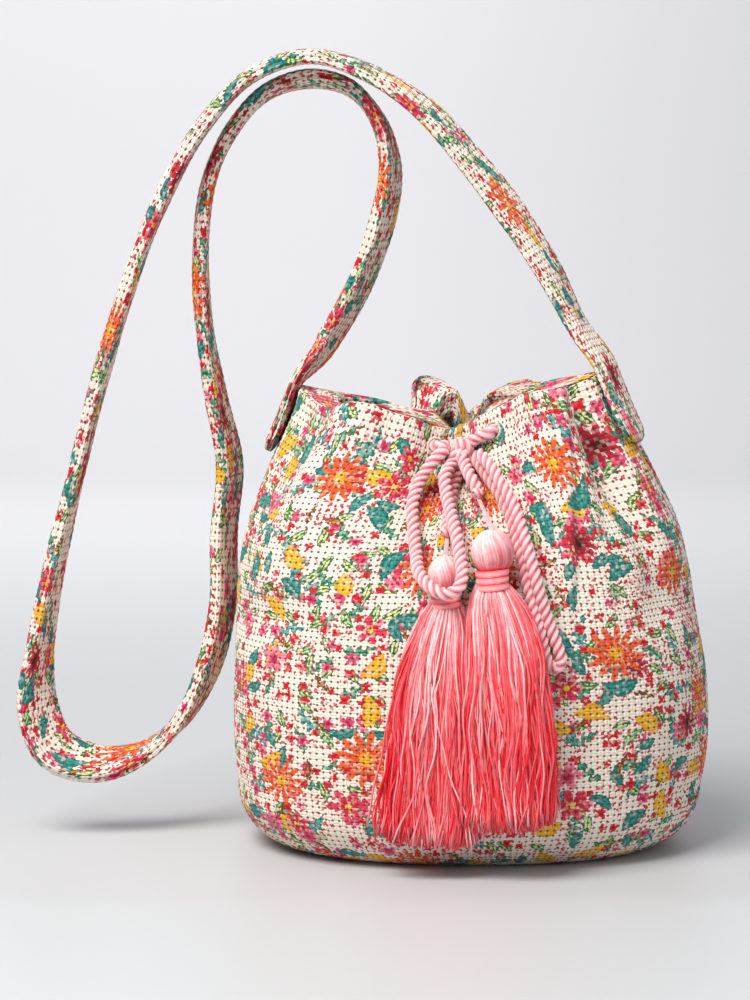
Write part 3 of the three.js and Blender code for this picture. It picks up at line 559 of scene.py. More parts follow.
def make_neck(side, size):
    """The turns of yarn that bind the neck, as one ribbed body."""
    ball, radius, neck_top, neck_bottom, lying = tassel_places(size)
    turns, rows, sides = 3, 55, 96
    z = np.linspace(neck_bottom - 0.6, neck_top + 0.9, rows)
    rib = np.abs(np.sin(np.linspace(0, turns * np.pi, rows))) ** 0.7
    rib = 0.75 * rib + 0.25 * np.abs(np.sin(np.linspace(0, 4 * turns * np.pi, rows)))
    waist = 1 - 0.05 * np.sin(np.linspace(0, np.pi, rows))
    reach = size["neck"] / 2 * waist - 0.75 + 0.75 * rib
    reach[[0, -1]] *= 0.8
    turn = np.linspace(0, 2 * np.pi, sides, endpoint=False)
    middle_y = lying(z, size["neck"] / 2)
    rings = np.stack([
        ball[0] + reach[:, None] * np.cos(turn), middle_y[:, None] + reach[:, None] * np.sin(turn),
        z[:, None] + 0.7 * np.cos(turn) + 0 * reach[:, None],
    ], -1)
    points, faces, corners = closed_strip(rings)
    # Painted light: each turn of yarn is lighter on its top, and painted shade darkens the grooves between turns
    shade = np.concatenate([np.repeat(0.3 + 0.5 * rib, sides), [0.5, 0.5]])
    cloth = np.stack([z[corners[:, 0]] * 1.0, corners[:, 1] / sides * 50], -1)
    made = make_mesh(f"tassel_neck_{side}", points, faces, cloth, shade)
    return made


heads = {side: make_head(side, size) for side, size in HANG.items()}
necks = {side: make_neck(side, size) for side, size in HANG.items()}

# %% Tassel skirts
def thread_tubes(lines, radius, shades, sides=4):
    """Many thin threads as one mesh: lines is threads × stations × 3."""
    count, rows = lines.shape[:2]
    along = unit(np.gradient(lines, axis=1))
    side = unit(np.cross(along, [0.0, 1.0, 0.15]))
    up = np.cross(along, side)
    turn = np.linspace(0, 2 * np.pi, sides, endpoint=False)
    taper = np.ones(rows)
    taper[-1] = 0.55
    reach = radius[:, None] * taper
    rings = lines[:, :, None] + reach[..., None, None] * (
        np.cos(turn)[:, None] * side[:, :, None] + np.sin(turn)[:, None] * up[:, :, None]
    )
    quads, _ = grid_faces(rows, sides, False, True)
    caps = [list(range(sides))[::-1], [(rows - 1) * sides + k for k in range(sides)]]
    base = np.arange(count)[:, None, None] * rows * sides
    faces = (quads[None] + base).reshape(-1, 4).tolist()
    faces += (np.array(caps)[None] + base).reshape(-1, sides).tolist()
    return rings.reshape(-1, 3), faces, np.repeat(shades.reshape(count, rows), sides, axis=1).ravel()


def make_skirt(side, size, seed, threads=700, stations=20):
    ball, radius, neck_top, neck_bottom, lying = tassel_places(size)
    dice = np.random.default_rng(seed)
    top = neck_bottom + 1.5
    length = top - size["bottom"]
    down = np.linspace(0, 1, stations)
    opened = smooth_column(SKIRT[:, 0], SKIRT[:, 1], down)
    leaned = smooth_column(SKIRT[:, 0], SKIRT[:, 2], down)
    z = top - length * down
    in_neck = size["neck"] * 0.9
    deep = in_neck + (size["flat"] - in_neck) * opened
    wide = in_neck + (size["spread"] - in_neck) * opened
    middle_y = lying(z, deep / 2)
    middle_x = ball[0] + size["lean"] * size["spread"] * leaned

    # Threads gather to locks on their way down, and some cross to the next lock
    locks = 19
    lock_turn = np.sort(dice.random(locks)) * 2 * np.pi
    own_turn = dice.random(threads) * 2 * np.pi
    nearest = np.abs((own_turn[:, None] - lock_turn[None] + np.pi) % (2 * np.pi) - np.pi).argmin(1)
    pull = (lock_turn[nearest] - own_turn + np.pi) % (2 * np.pi) - np.pi
    cross = dice.normal(0, 0.3, threads)
    turn = own_turn[:, None] + (0.5 * pull + cross)[:, None] * down[None] ** 0.8
    # A lock waves as one, and its own threads wave a little each
    lock_phase = dice.random((locks, 2))[nearest] * 2 * np.pi
    lock_tone = dice.normal(0, 0.07, locks)[nearest]
    edge = np.clip(np.abs(pull) / 0.17, 0, 1.3) ** 2
    layer = 0.62 + 0.38 * dice.random(threads) ** 0.5
    swell = 1 + 0.05 * np.sin(3 * own_turn[:, None] + 5 * down[None])
    phase = dice.random((threads, 4)) * 2 * np.pi
    sway = dice.uniform(0.5, 2.5, threads)[:, None] * down[None] ** 0.5
    # About a quarter of the threads get a painted highlight below, and the strays get it too
    highlit = dice.random(threads) < 0.24
    stray = dice.random(threads) < 0.09
    x = middle_x + (layer[:, None] * swell) * wide / 2 * np.cos(turn)
    y = middle_y + (layer[:, None] * swell) * deep / 2 * np.sin(turn)
    x = x + sway * np.sin(down * 9 + phase[:, :1]) + 0.4 * sway * np.sin(down * 21 + phase[:, 1:2])
    x = x + 0.9 * np.sin(down * 13 + lock_phase[:, :1]) * down**0.5
    y = y + 0.5 * sway * np.sin(down * 8 + phase[:, 2:3]) - np.where(highlit, 0.4, 0)[:, None] * np.sign(-np.sin(turn))
    x = x + np.where(stray, dice.normal(0, 6.5, threads), 0)[:, None] * down**1.6
    x = x + np.where(highlit, dice.normal(0, 2.6, threads), 0)[:, None] * down
    # A thread that hangs to the side is as long as the others, so it ends higher
    trim = {"left": 6.5, "right": 4.0}[side]
    ends = np.clip(dice.normal(trim, 1.7, threads), trim - 2.5, trim + 8)[:, None] * down**2 + (x - ball[0]) ** 2 / (2 * length)
    lines = np.stack([x, y, z + ends + 0 * x], -1)
    # Painted light: threads at the front and near the neck are lighter, painted shade darkens threads at a lock's
    # border, and the highlit and stray threads get a painted highlight; the rest is each thread's and lock's own tone
    # at random, and the very ends are lighter
    front = -np.sin(turn) * layer[:, None]
    tone = 0.42 + 0.08 * front + 0.34 * (1 - down) ** 2 + dice.normal(0, 0.08, threads)[:, None]
    tone = tone + lock_tone[:, None] - 0.14 * edge[:, None] * down**0.3 + 0.14 * down**8
    tone = tone + np.where(highlit | stray, dice.uniform(0.12, 0.34, threads), 0)[:, None]
    tone = tone + 0.12 * np.sin(down * 9 + phase[:, 3:4])
    radii = THREAD / 2 * dice.uniform(0.75, 1.15, threads)
    points, faces, shade = thread_tubes(lines, radii, np.clip(tone, 0, 1))

    # A soft heart of packed threads, so that no light shows through
    around = np.linspace(0, 2 * np.pi, 40, endpoint=False)
    ridged = 0.8 + 0.05 * np.cos(13 * around)
    reach = down * (length - 5 - trim) / length
    core_x, core_y, core_wide, core_deep = (np.interp(reach, down, v)[:, None] for v in (middle_x, middle_y, wide, deep))
    core = np.stack([
        core_x + core_wide / 2 * ridged * np.cos(around),
        core_y + core_deep / 2 * ridged * np.sin(around),
        np.repeat((top - length * reach)[:, None], 40, axis=1),
    ], -1)
    core[-1, :, 2] += (core[-1, :, 0] - ball[0]) ** 2 / (2 * length)
    heart, heart_faces, _ = closed_strip(core[::-1])
    faces = faces + [[v + len(points) for v in face] for face in heart_faces]
    # The heart is painted deep rose, painted shade for the threads deep in the hank
    shade = np.concatenate([shade, np.full(len(heart), 0.3)])
    made = make_mesh(f"tassel_skirt_{side}", np.vstack([points, heart]), faces, None, shade)
    return made


skirts = {side: make_skirt(side, size, seed) for (side, size), seed in zip(HANG.items(), (5, 11))}
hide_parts("tassel_left")
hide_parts("tassel_right")

# %% Hide the solids of the free cords
for cord, line, side, knot in (
    (left_cord, left_line, "left", left_end_knot), (right_cord, right_line, "right", right_end_knot),
):
    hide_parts(f"bow_loop_{side}", f"cord_tail_{side}")

# %% [markdown]
# ## The canvas wall
# The cloth is an open basket weave with a cell of 3.6 mm across and near 3.2 mm up. A cell is raised in its middle and
# has a small hole at each corner. That relief shows along the outline of the bag, so it is
# real geometry here: the mesh has two points to a cell, pushed out in the middle of a cell
# and in at its corners. Soft creases near the neck and shallow waves lower down are added
# the same way.

# %% Wall mesh
CELL = 3.6
CELLS_ROUND, ROWS_UP = 198, 81
COLUMNS = 2 * CELLS_ROUND
SEAM_ANGLE = -95.0
angles = SEAM_ANGLE + np.arange(COLUMNS) * 360 / COLUMNS


def even_levels(count):
    """Levels whose points are evenly far apart up the wall's side, and a little wider apart at the neck."""
    fine = np.linspace(0, 2, 801)
    side = wall_point(np.array([[80.0], [-80.0], [30.0], [150.0]]), fine[None])
    run = np.linalg.norm(np.diff(side, axis=1), axis=-1).mean(0)
    along = np.concatenate([[0], np.cumsum(run * (1 - 0.24 * rise(fine[1:], 1.45, 1.9)))])
    return np.interp(np.linspace(0, along[-1], count), along, fine), run.sum()


levels, wall_run = even_levels(2 * ROWS_UP + 1)
print("cloth from base to rim:", round(wall_run), "mm, a row each", round(wall_run / ROWS_UP, 2), "mm")


def lapped(away, before, after):
    """A fold that laps over the cloth beside it: it swells slowly, drops at once, falls on and eases back."""
    swell = 0.45 * rise(away, -before, -1.6) - 0.6 * rise(away, -1.6, 1.0)
    return swell - 0.4 * rise(away, 1.0, 0.5 * after) + 0.55 * rise(away, 0.45 * after, after)


def creases(angle, level):
    """Extra depth of the fine folds, in mm outwards."""
    up = np.clip((level - 1), 0, 1)
    neck = rise(up, 0.45, 1.0)
    out = 0.9 * neck * np.sin(np.radians(angle * 17 + 40 * np.sin(np.radians(angle * 3))))
    out = out + 0.6 * neck * np.sin(np.radians(angle * 29 + 70))
    out = out + 9.0 * rise(up, 0.35, 0.75) * lapped(between(angle, 43.5 - 30 * (1 - up)), 15, 24)
    out = out + 3.4 * rise(up, 0.6, 0.85) * lapped(-between(angle, -56.5 + 52 * (1 - up)), 14, 14)
    out = out - 1.6 * rise(up, 0.55, 0.9) * bump(between(angle, 22 - 14 * (1 - up)), 5)
    body = bump(up - 0.25, 0.5)
    out = out + 0.8 * body * np.sin(np.radians(angle * 5 + 30) + 5 * up)
    out = out + 0.5 * body * np.sin(np.radians(angle * 11) - 9 * up)
    out = out + 0.9 * rise(up, 0.97, 1.0)
    return out * rise(level, 0.4, 1.2)


def make_wall():
    grid_angle, grid_level = np.meshgrid(angles, levels)
    outer = wall_point(grid_angle, grid_level)
    normal = wall_normal(grid_angle, grid_level)
    crease = creases(grid_angle, grid_level)[..., None]
    j, i = np.meshgrid(np.arange(COLUMNS), np.arange(len(levels)))
    relief = np.where((i % 2 == 1) & (j % 2 == 1), 0.28, np.where((i % 2 == 0) & (j % 2 == 0), -0.4, 0.0))
    relief = relief * rise(grid_level, 0.02, 0.1) * rise(2 - grid_level, 0.0, 0.02)
    face = outer + normal * (crease + relief[..., None])
    # The edge rolls over in two rows, and the inner face has half as many rows.
    inner_rows = np.arange(len(levels))[::-1][::2]
    inner = (outer - normal * WALL + normal * crease)[inner_rows]
    lip = outer[-1] - normal[-1] * WALL / 2 + normal[-1] * crease[-1]
    lip = lip + np.array([0, 0, 0.9])
    inner[0, :, 2] = outer[-1, :, 2]
    inner[-1] = outer[0] * np.array([1, 1, 0]) + np.array([0, 0, WALL])
    rings = np.concatenate([face, lip[None], inner])
    up_cloth = np.concatenate([np.arange(len(levels)), [len(levels)], len(levels) + 1.0 + np.arange(len(inner)) * 2]) * CELL / 2
    quads, steps = grid_faces(len(rings), COLUMNS, True, True)
    row = steps[..., 0]
    v = np.concatenate([up_cloth, [up_cloth[-1] + WALL]])[row]
    cloth = np.stack([steps[..., 1] * CELL / 2, v], -1)
    made = make_mesh("canvas_wall", rings.reshape(-1, 3), quads, cloth)
    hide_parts("side_wall")
    return made


canvas_wall = make_wall()

# %% [markdown]
# ## Buttonholes for the cord
# The cord leaves its casing through two short slits. A slit is a real opening in the wall's
# mesh: the faces that the cord passes through are taken out, and a bound edge of thread
# follows the opening's outline, which is found by walking out from the cord in all directions.

# %% Open the wall where the cord passes
def off_cord(points):
    """How far points are from the cord's middle line."""
    near = ring_line[::3]
    return np.linalg.norm(points[..., None, :] - near, axis=-1).min(-1)


def open_wall(wall):
    mesh = wall.data
    points = np.empty(len(mesh.vertices) * 3, np.float32)
    mesh.vertices.foreach_get("co", points)
    points = points.reshape(-1, 3) / MM
    turn = np.degrees(np.arctan2(points[:, 0], -points[:, 1]))
    away = np.abs(between(turn, KNOT_ANGLE))
    spot = (away > 12) & (away < 32) & (np.abs(points[:, 2] - (BAG_HEIGHT - 27)) < 24)
    inside = np.zeros(len(points), bool)
    inside[spot] = off_cord(points[spot]) < CORD / 2 + 0.5
    made = bmesh.new()
    made.from_mesh(mesh)
    made.verts.ensure_lookup_table()
    gone = [face for face in made.faces if all(inside[v.index] for v in face.verts)]
    bmesh.ops.delete(made, geom=gone, context="FACES")
    made.to_mesh(mesh)
    made.free()
    return len(gone)


print("faces taken out at the slits:", open_wall(canvas_wall))

# %% Bound edges of the slits
def make_binding(name, side):
    centre = KNOT_ANGLE + side * (SLIT_SPREAD - 1)
    turn = np.linspace(0, 2 * np.pi, 41)[:-1]
    walk = np.linspace(0.5, 16, 60)[:, None]
    angle = centre + walk * np.cos(turn) * 0.9
    level = casing_level + 0.012 + walk * np.sin(turn) / BAG_HEIGHT * 1.15
    points = wall_point(angle, level) + wall_normal(angle, level) * creases(angle, level)[..., None]
    first = (off_cord(points) > CORD / 2 + 0.6).argmax(0)
    outline = points[first, np.arange(len(turn))]
    outline = (outline + np.roll(outline, 1, 0) + np.roll(outline, -1, 0)) / 3
    line, _ = smooth_route(np.vstack([outline, outline[:1]]), 0.6)
    made = make_rope(name, line, 1.4, slot="printed_canvas", sides=12, lay=2.2, strands=2)
    return made


bindings = [make_binding("slit_binding_left", -1), make_binding("slit_binding_right", 1)]

# %% [markdown]
# ## Facing and base
# At the rim the canvas is turned in and sewn down again below the cord, which makes the
# casing. Its band shows inside the back of the neck. The base is a flat round panel of the
# same canvas.

# %% Neck facing
def finer(ring, count):
    """A closed ring with more points, on a smooth curve through it."""
    spectrum = np.fft.rfft(ring, axis=0)
    wide = np.zeros((count // 2 + 1, 3), complex)
    wide[: len(spectrum)] = spectrum
    wide[len(spectrum) - 1] *= 0.5
    return np.fft.irfft(wide, count, axis=0) * count / len(ring)


def make_facing():
    edge, middle = WALL + 0.8, WALL + CORD + CASING_EASE
    rows = [(27, edge, 1), (11 + 7.2, middle, 2), (11 - 7.2, middle, 2), (0.3, WALL - 0.9, 0)]
    profile = [ring_inside(level_at_drop(d), deep, s) for d, deep, s in rows]
    behind = [ring_inside(level_at_drop(d), deep + 1.6, s) for d, deep, s in rows]
    dense = lambda rings: np.stack([finer(r, 288) for r in rings])
    front, back = dense(profile), dense(behind)
    steps_up = np.linspace(0, 3, 16)
    blend = lambda rings: np.stack([
        rings[min(2, int(s))] + (rings[min(2, int(s)) + 1] - rings[min(2, int(s))]) * (s - min(2, int(s)))
        for s in steps_up
    ])
    a, b = blend(front), blend(back)
    turn = np.linspace(0, 2 * np.pi, 288, endpoint=False)
    inward = unit(b - a)
    ripple = 0.5 * np.sin(23 * turn) + 0.35 * np.sin(41 * turn + 1)
    b = b + inward * (ripple * bump(steps_up[:, None] - 1.5, 1.6))[..., None]
    # Towards the lip the band goes out into the wall's folds.
    angle = np.degrees(np.arctan2(a[..., 0], -a[..., 1]))
    lip = np.full(angle.shape, 2.0)
    follow = wall_normal(angle, lip) * (creases(angle, lip) * rise(steps_up, 1.9, 2.9)[:, None])[..., None]
    a, b = a + follow, b + follow
    rings = np.concatenate([a, b[::-1]])
    quads, steps = grid_faces(len(rings), 288, True, True)
    width = np.linalg.norm(np.diff(np.vstack([rings, rings[:1]]), axis=0), axis=-1).mean(1)
    run = np.concatenate([[0], np.cumsum(width)])
    cloth = np.stack([steps[..., 1] / 288 * 106 * CELL + 250 * CELL, run[steps[..., 0]]], -1)
    made = make_mesh("neck_facing_band", rings.reshape(-1, 3), quads, cloth)
    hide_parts("neck_facing")
    return made


neck_band = make_facing()

# %% Base
def make_base():
    edge = wall_point(np.arange(144) * 2.5, 0.0)
    edge = edge * (1 - TOUCH / np.linalg.norm(edge, axis=1, keepdims=True))
    shares = np.array([0.03, 0.2, 0.4, 0.6, 0.8, 0.94, 0.985, 1.0])
    lower = np.stack([edge * s for s in shares])
    upper = lower.copy()
    sag = 0.25 * np.sin(np.radians(np.arange(144) * 7.5)) * shares[:, None] * (1 - shares[:, None])
    upper[..., 2] = WALL + sag
    upper[-1, :, 2] = WALL - 0.5
    lower[-1, :, 2] = 0.5
    rings = np.concatenate([lower, upper[::-1]])
    points, faces, _ = closed_strip(rings)
    flat = np.array([points[i][:2] for f in faces for i in f]) + 1500
    made = make_mesh("base_canvas", points, faces, flat)
    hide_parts("base_panel")
    return made


base_canvas = make_base()

# %% [markdown]
# ## The shoulder strap
# The strap is a band of the same canvas, folded lengthwise over a soft filling and closed
# along its narrow edge, where the two turned-in layers leave a fine dark line. It is swept
# along the same route as its solid, and its section turns as that one does.

# %% Strap route
STRAP_WIDE, STRAP_THICK, SEAT_THICK, STRAP_LAP = 24, 7.5, 5, 34
LEFT_SEAT, RIGHT_SEAT, SEAT_SHARES = -95, 74, (1, 0.62, 0.25)
STRAP = [  # across, back, up, turn
    (-0.62, 0.24, 1.085, 21), (-0.47, 0.21, 1.22, 21), (-0.372, 0.16, 1.365, 21),
    (-0.342, 0.13, 1.475, 17), (-0.393, 0.11, 1.578, 5), (-0.513, 0.1, 1.648, -5),
    (-0.679, 0.1, 1.668, -8), (-0.862, 0.1, 1.64, -3), (-1.006, 0.11, 1.563, 5),
    (-1.108, 0.13, 1.453, 5), (-1.149, 0.16, 1.299, 0), (-1.138, 0.19, 1.133, -5),
    (-1.09, 0.24, 0.968, -13), (-1.035, 0.3, 0.815, -20), (-1.06, 0.3, 0.66, -22),
    (-1.066, 0.27, 0.5, -22), (-1.127, 0.22, 0.363, -20), (-1.235, 0.16, 0.255, -10),
    (-1.4, 0.1, 0.182, 9), (-1.6, 0.06, 0.158, 33), (-1.78, 0.04, 0.195, 60),
    (-1.852, 0.04, 0.293, 44), (-1.838, 0.03, 0.415, 20), (-1.775, 0.02, 0.594, 10),
    (-1.682, 0, 0.792, 4), (-1.583, -0.02, 0.99, 3), (-1.466, -0.03, 1.189, 2),
    (-1.32, -0.04, 1.387, 2), (-1.128, -0.05, 1.565, 0), (-0.92, -0.06, 1.674, 0),
    (-0.68, -0.06, 1.714, -2), (-0.44, -0.07, 1.68, -8), (-0.2, -0.08, 1.6, -20),
    (0.0, -0.09, 1.486, -26), (0.153, -0.1, 1.385, -29), (0.318, -0.12, 1.255, -25),
    (0.44, -0.14, 1.135, -16),
]


def rest_axes(tangent):
    depth = np.array([0.0, 1.0, 0.0])
    thick = unit(np.cross(depth, tangent))
    wide = unit(depth - tangent * (tangent @ depth)[..., None] if tangent.ndim > 1 else depth - tangent * (tangent @ depth))
    return thick, wide


def seat_stations(angle):
    stations = []
    for share in SEAT_SHARES:
        level = level_at_drop(share * STRAP_LAP)
        place = wall_point(angle, level) + wall_normal(angle, level) * (SEAT_THICK / 2 + 2 * TOUCH)
        width = unit(wall_point(angle + 1, level) - wall_point(angle - 1, level))
        stations.append((place, width * np.sign(width[1]), SEAT_THICK))
    beyond = stations[2][0] * 2 - stations[1][0]
    return [*stations, (beyond, stations[2][1], SEAT_THICK)]


size_of = np.array([HALF_WIDTH, HALF_DEPTH, BAG_HEIGHT])
free = [(np.array(row[:3]) * size_of, math.radians(row[3]), STRAP_THICK) for row in STRAP]
strap_stations = [*seat_stations(LEFT_SEAT), *free, *seat_stations(RIGHT_SEAT)[::-1]]
strap_line, station_at = smooth_route([s[0] for s in strap_stations], 0.6 * CELL)
strap_along = np.arange(len(strap_line)) * line_length(strap_line) / (len(strap_line) - 1)
strap_tangent = unit(np.gradient(strap_line, axis=0))
print("strap", round(line_length(strap_line)), "mm long")

# %% Strap mesh
def make_strap():
    turns = []
    for k, (place, turn, thick) in enumerate(strap_stations):
        if np.ndim(turn):
            at = int(np.argmin(np.abs(strap_along - station_at[k])))
            thick_way, wide_way = rest_axes(strap_tangent[at])
            turn = math.atan2(turn @ thick_way, turn @ wide_way)
        turns.append(turn)
    turn = np.interp(strap_along, station_at, turns)
    thick = np.interp(strap_along, station_at, [s[2] for s in strap_stations])
    c, s = np.cos(turn)[:, None], np.sin(turn)[:, None]
    axes = [rest_axes(t) for t in strap_tangent]
    thick_axis, wide_axis = np.array([a[0] for a in axes]), np.array([a[1] for a in axes])
    thick_way, wide_way = thick_axis * c - wide_axis * s, wide_axis * c + thick_axis * s
    # The section is a band with close-folded edges, in even steps of half a cell
    sides = 40
    fine = np.linspace(0, 2 * np.pi, 4001)
    soft = lambda v, power: np.sign(v) * np.abs(v) ** power
    outline = np.stack([soft(np.cos(fine), 0.3) * STRAP_THICK / 2, soft(np.sin(fine), 0.2) * STRAP_WIDE / 2], -1)
    run = np.concatenate([[0], np.cumsum(np.linalg.norm(np.diff(outline, axis=0), axis=1))])
    girth = run[-1]
    around = np.linspace(0, girth, sides, endpoint=False) + girth / 4
    flat = [np.interp(around % girth, run, outline[:, k]) for k in (0, 1)]
    flat_x, flat_y = flat[0] / (STRAP_THICK / 2), flat[1] / (STRAP_WIDE / 2)
    from_end = np.minimum(strap_along, strap_along[-1] - strap_along)
    tip = np.sqrt(np.clip(1 - (1 - np.clip(from_end / 9.0, 0.03, 1)) ** 2, 0, 1))
    on_edge = np.abs(flat_y) > 0.93
    groove = on_edge * np.exp(-((flat_x / 0.3) ** 2))
    cut = 0.9 + 2.4 * (1 - rise(from_end, 18, 50))
    cut = cut * rise(from_end, 3, 7)
    rows = np.arange(len(strap_line))
    weave = np.where((rows[:, None] % 2 == 1) & (np.arange(sides)[None] % 2 == 1), 0.18, 0.0)
    weave = weave + np.where((rows[:, None] % 2 == 0) & (np.arange(sides)[None] % 2 == 0), -0.28, 0.0)
    seam = np.exp(-(((np.abs(flat_y) - 0.8) / 0.07) ** 2)) * (np.abs(flat_x) > 0.9)
    seam_deep = 0.5 + 1.5 * rise(from_end, 4, 8) * (1 - rise(from_end, 34, 60))
    slump = 0.35 * np.sin(strap_along / 17.0) + 0.25 * np.sin(strap_along / 7.3 + 1)
    belly = 0.5 * (1 - flat_y**2)
    half_thick = (thick / 2 * (0.45 + 0.55 * tip))[:, None]
    half_wide = (STRAP_WIDE / 2 * tip)[:, None]
    x = flat_x[None] * (half_thick - 0.35 + weave + belly[None] - seam_deep[:, None] * seam[None] + 0.4 * slump[:, None])
    y = flat_y[None] * (half_wide + weave) - np.sign(flat_y)[None] * groove[None] * cut[:, None]
    rings = strap_line[:, None] + x[..., None] * thick_way[:, None] + y[..., None] * wide_way[:, None]
    points, faces, corners = closed_strip(rings)
    cloth = np.stack([corners[:, 1] * CELL / 2 + 300 * CELL, corners[:, 0] * CELL / 2 + 11 * CELL], -1)
    made = make_mesh("strap_canvas", points, faces, cloth)
    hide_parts("shoulder_strap")
    return made


strap = make_strap()

# %% [markdown]
# ## Shader helpers
# Every finish below is a small tree of shader nodes. One function adds a node, sets it and
# links it, and hands back the output socket to use next. Colours are written as the sRGB hex
# values that a screen shows, and one function turns them linear, as the shader needs them.

# %% Shader helpers
def colour(code):
    """An sRGB hex colour as linear RGBA."""
    parts = [int(code[i : i + 2], 16) / 255 for i in (1, 3, 5)]
    return tuple(c / 12.92 if c <= 0.04045 else ((c + 0.055) / 1.055) ** 2.4 for c in parts) + (1.0,)


def add(tree, kind, inputs=(), out=0, **settings):
    """Adds a node, sets its properties, fills its inputs by name or number, and gives one output."""
    node = tree.nodes.new(kind)
    for key, value in settings.items():
        setattr(node, key, value)
    for key, value in dict(inputs).items():
        socket = node.inputs[key]
        if isinstance(value, bpy.types.NodeSocket):
            tree.links.new(value, socket)
        else:
            socket.default_value = value
    return node.outputs[out]


print("white is", [round(c, 2) for c in colour("#ffffff")])

# %% [markdown]
# ## Printed basket-weave canvas
# The cloth is undyed cotton, woven two threads over two, with a floral print laid on top.
# Woven cotton is matt, with a roughness near 0.9, an index of refraction near 1.5 and a faint
# sheen of loose fibres. The weave is worked out from the flat cloth position: within a cell of
# 3.6 mm two round threads lie side by side, the next cell has them turned by a right angle,
# and between four cells there is a small hole. The same numbers drive the colour and the bump.

# %% Weave as a node group
def new_group(name, takes, gives):
    """An empty node group with named inputs and outputs, and its two end nodes."""
    tree = bpy.data.node_groups.new(name, "ShaderNodeTree")
    for socket, kind in takes:
        tree.interface.new_socket(socket, in_out="INPUT", socket_type="NodeSocket" + kind)
    for socket, kind in gives:
        tree.interface.new_socket(socket, in_out="OUTPUT", socket_type="NodeSocket" + kind)
    return tree, tree.nodes.new("NodeGroupInput"), tree.nodes.new("NodeGroupOutput")


def weave_group():
    tree, given, result = new_group("basket weave", [("Cloth", "Vector")], [("Height", "Float"), ("Hole", "Float")])
    cells = add(tree, "ShaderNodeVectorMath", {0: given.outputs[0], "Scale": 1 / CELL}, operation="SCALE")
    whole = add(tree, "ShaderNodeVectorMath", {0: cells}, operation="FLOOR")
    inside = add(tree, "ShaderNodeVectorMath", {0: cells}, operation="FRACTION")
    inside = add(tree, "ShaderNodeVectorMath", {0: inside, 1: (0.5, 0.5, 0)}, operation="SUBTRACT")
    inside = add(tree, "ShaderNodeVectorMath", {0: inside}, operation="ABSOLUTE")
    x = add(tree, "ShaderNodeSeparateXYZ", {0: inside}, 0)
    y = add(tree, "ShaderNodeSeparateXYZ", {0: inside}, 1)
    column = add(tree, "ShaderNodeSeparateXYZ", {0: whole}, 0)
    row = add(tree, "ShaderNodeSeparateXYZ", {0: whole}, 1)
    both = add(tree, "ShaderNodeMath", {0: column, 1: row}, operation="ADD")
    turned = add(tree, "ShaderNodeMath", {0: both, 1: 2.0}, operation="FLOORED_MODULO")
    across = add(tree, "ShaderNodeMix", {0: turned, 2: y, 3: x})
    along = add(tree, "ShaderNodeMix", {0: turned, 2: x, 3: y})
    thread = add(tree, "ShaderNodeMapRange", {0: across, 1: 0.0, 2: 0.5, 3: -1.0, 4: 1.0})
    thread = add(tree, "ShaderNodeMath", {0: thread, 1: thread}, operation="MULTIPLY")
    round_top = add(tree, "ShaderNodeMath", {0: 1.02, 1: thread}, operation="SUBTRACT")
    round_top = add(tree, "ShaderNodeMath", {0: round_top, 1: 0.32}, operation="POWER")
    arch = add(tree, "ShaderNodeMath", {0: along, 1: along}, operation="MULTIPLY")
    arch = add(tree, "ShaderNodeMath", {0: arch, 1: -2.6, 2: 1.0}, operation="MULTIPLY_ADD")
    corner = add(tree, "ShaderNodeVectorMath", {0: inside, 1: (0.5, 0.5, 0)}, 1, operation="DISTANCE")
    hole = add(tree, "ShaderNodeMapRange", {0: corner, 1: 0.08, 2: 0.25, 3: 1.0, 4: 0.0}, interpolation_type="SMOOTHSTEP")
    height = add(tree, "ShaderNodeMath", {0: round_top, 1: arch}, operation="MULTIPLY")
    height = add(tree, "ShaderNodeMath", {0: height, 1: hole}, operation="SUBTRACT")
    tree.links.new(height, result.inputs["Height"])
    tree.links.new(hole, result.inputs["Hole"])
    return tree


weave = weave_group()
print("weave nodes:", len(weave.nodes))

# %% [markdown]
# ## The print
# The print is a loose all-over floral. It is drawn here with motifs of our own, on a layout
# of our own. A Voronoi texture scatters one motif in each of its cells: its position output
# gives each motif a middle, and its random colour gives it a turn, a size and a chance to be
# there at all. One group draws flowers, whose edge swings in and out round the middle, and one
# draws leaves, which are a lens shape with a rib, or a row of leaflets.

# %% Motif groups
def scattered(tree, given):
    """The shared part of both motifs: the way from a cell's middle, its distance in mm and random numbers."""
    vector, spacing, seed = (given.outputs[k] for k in ("Cloth", "Spacing", "Seed"))
    shift = add(tree, "ShaderNodeCombineXYZ", {0: seed, 1: seed})
    scale = add(tree, "ShaderNodeMath", {0: 1.0, 1: spacing}, operation="DIVIDE")
    place = add(tree, "ShaderNodeVectorMath", {0: vector, "Scale": scale}, operation="SCALE")
    place = add(tree, "ShaderNodeVectorMath", {0: place, 1: shift}, operation="ADD")
    cells = add(tree, "ShaderNodeTexVoronoi", {"Vector": place, "Scale": 1.0, "Randomness": 0.6}, 2, voronoi_dimensions="2D")
    chance = add(tree, "ShaderNodeSeparateColor", {0: cells.node.outputs["Color"]})
    way = add(tree, "ShaderNodeVectorMath", {0: place, 1: cells}, operation="SUBTRACT")
    way = add(tree, "ShaderNodeVectorMath", {0: way, "Scale": spacing}, operation="SCALE")
    turn = add(tree, "ShaderNodeMath", {0: chance, 1: 6.283}, operation="MULTIPLY")
    way = add(tree, "ShaderNodeVectorRotate", {"Vector": way, "Angle": turn}, rotation_type="Z_AXIS")
    shown = add(tree, "ShaderNodeMath", {0: chance.node.outputs[2], 1: given.outputs["Share"]}, operation="LESS_THAN")
    size = add(tree, "ShaderNodeMapRange", {0: chance.node.outputs[1], 3: 0.78, 4: 1.15})
    return way, size, shown, chance.node.outputs[1]


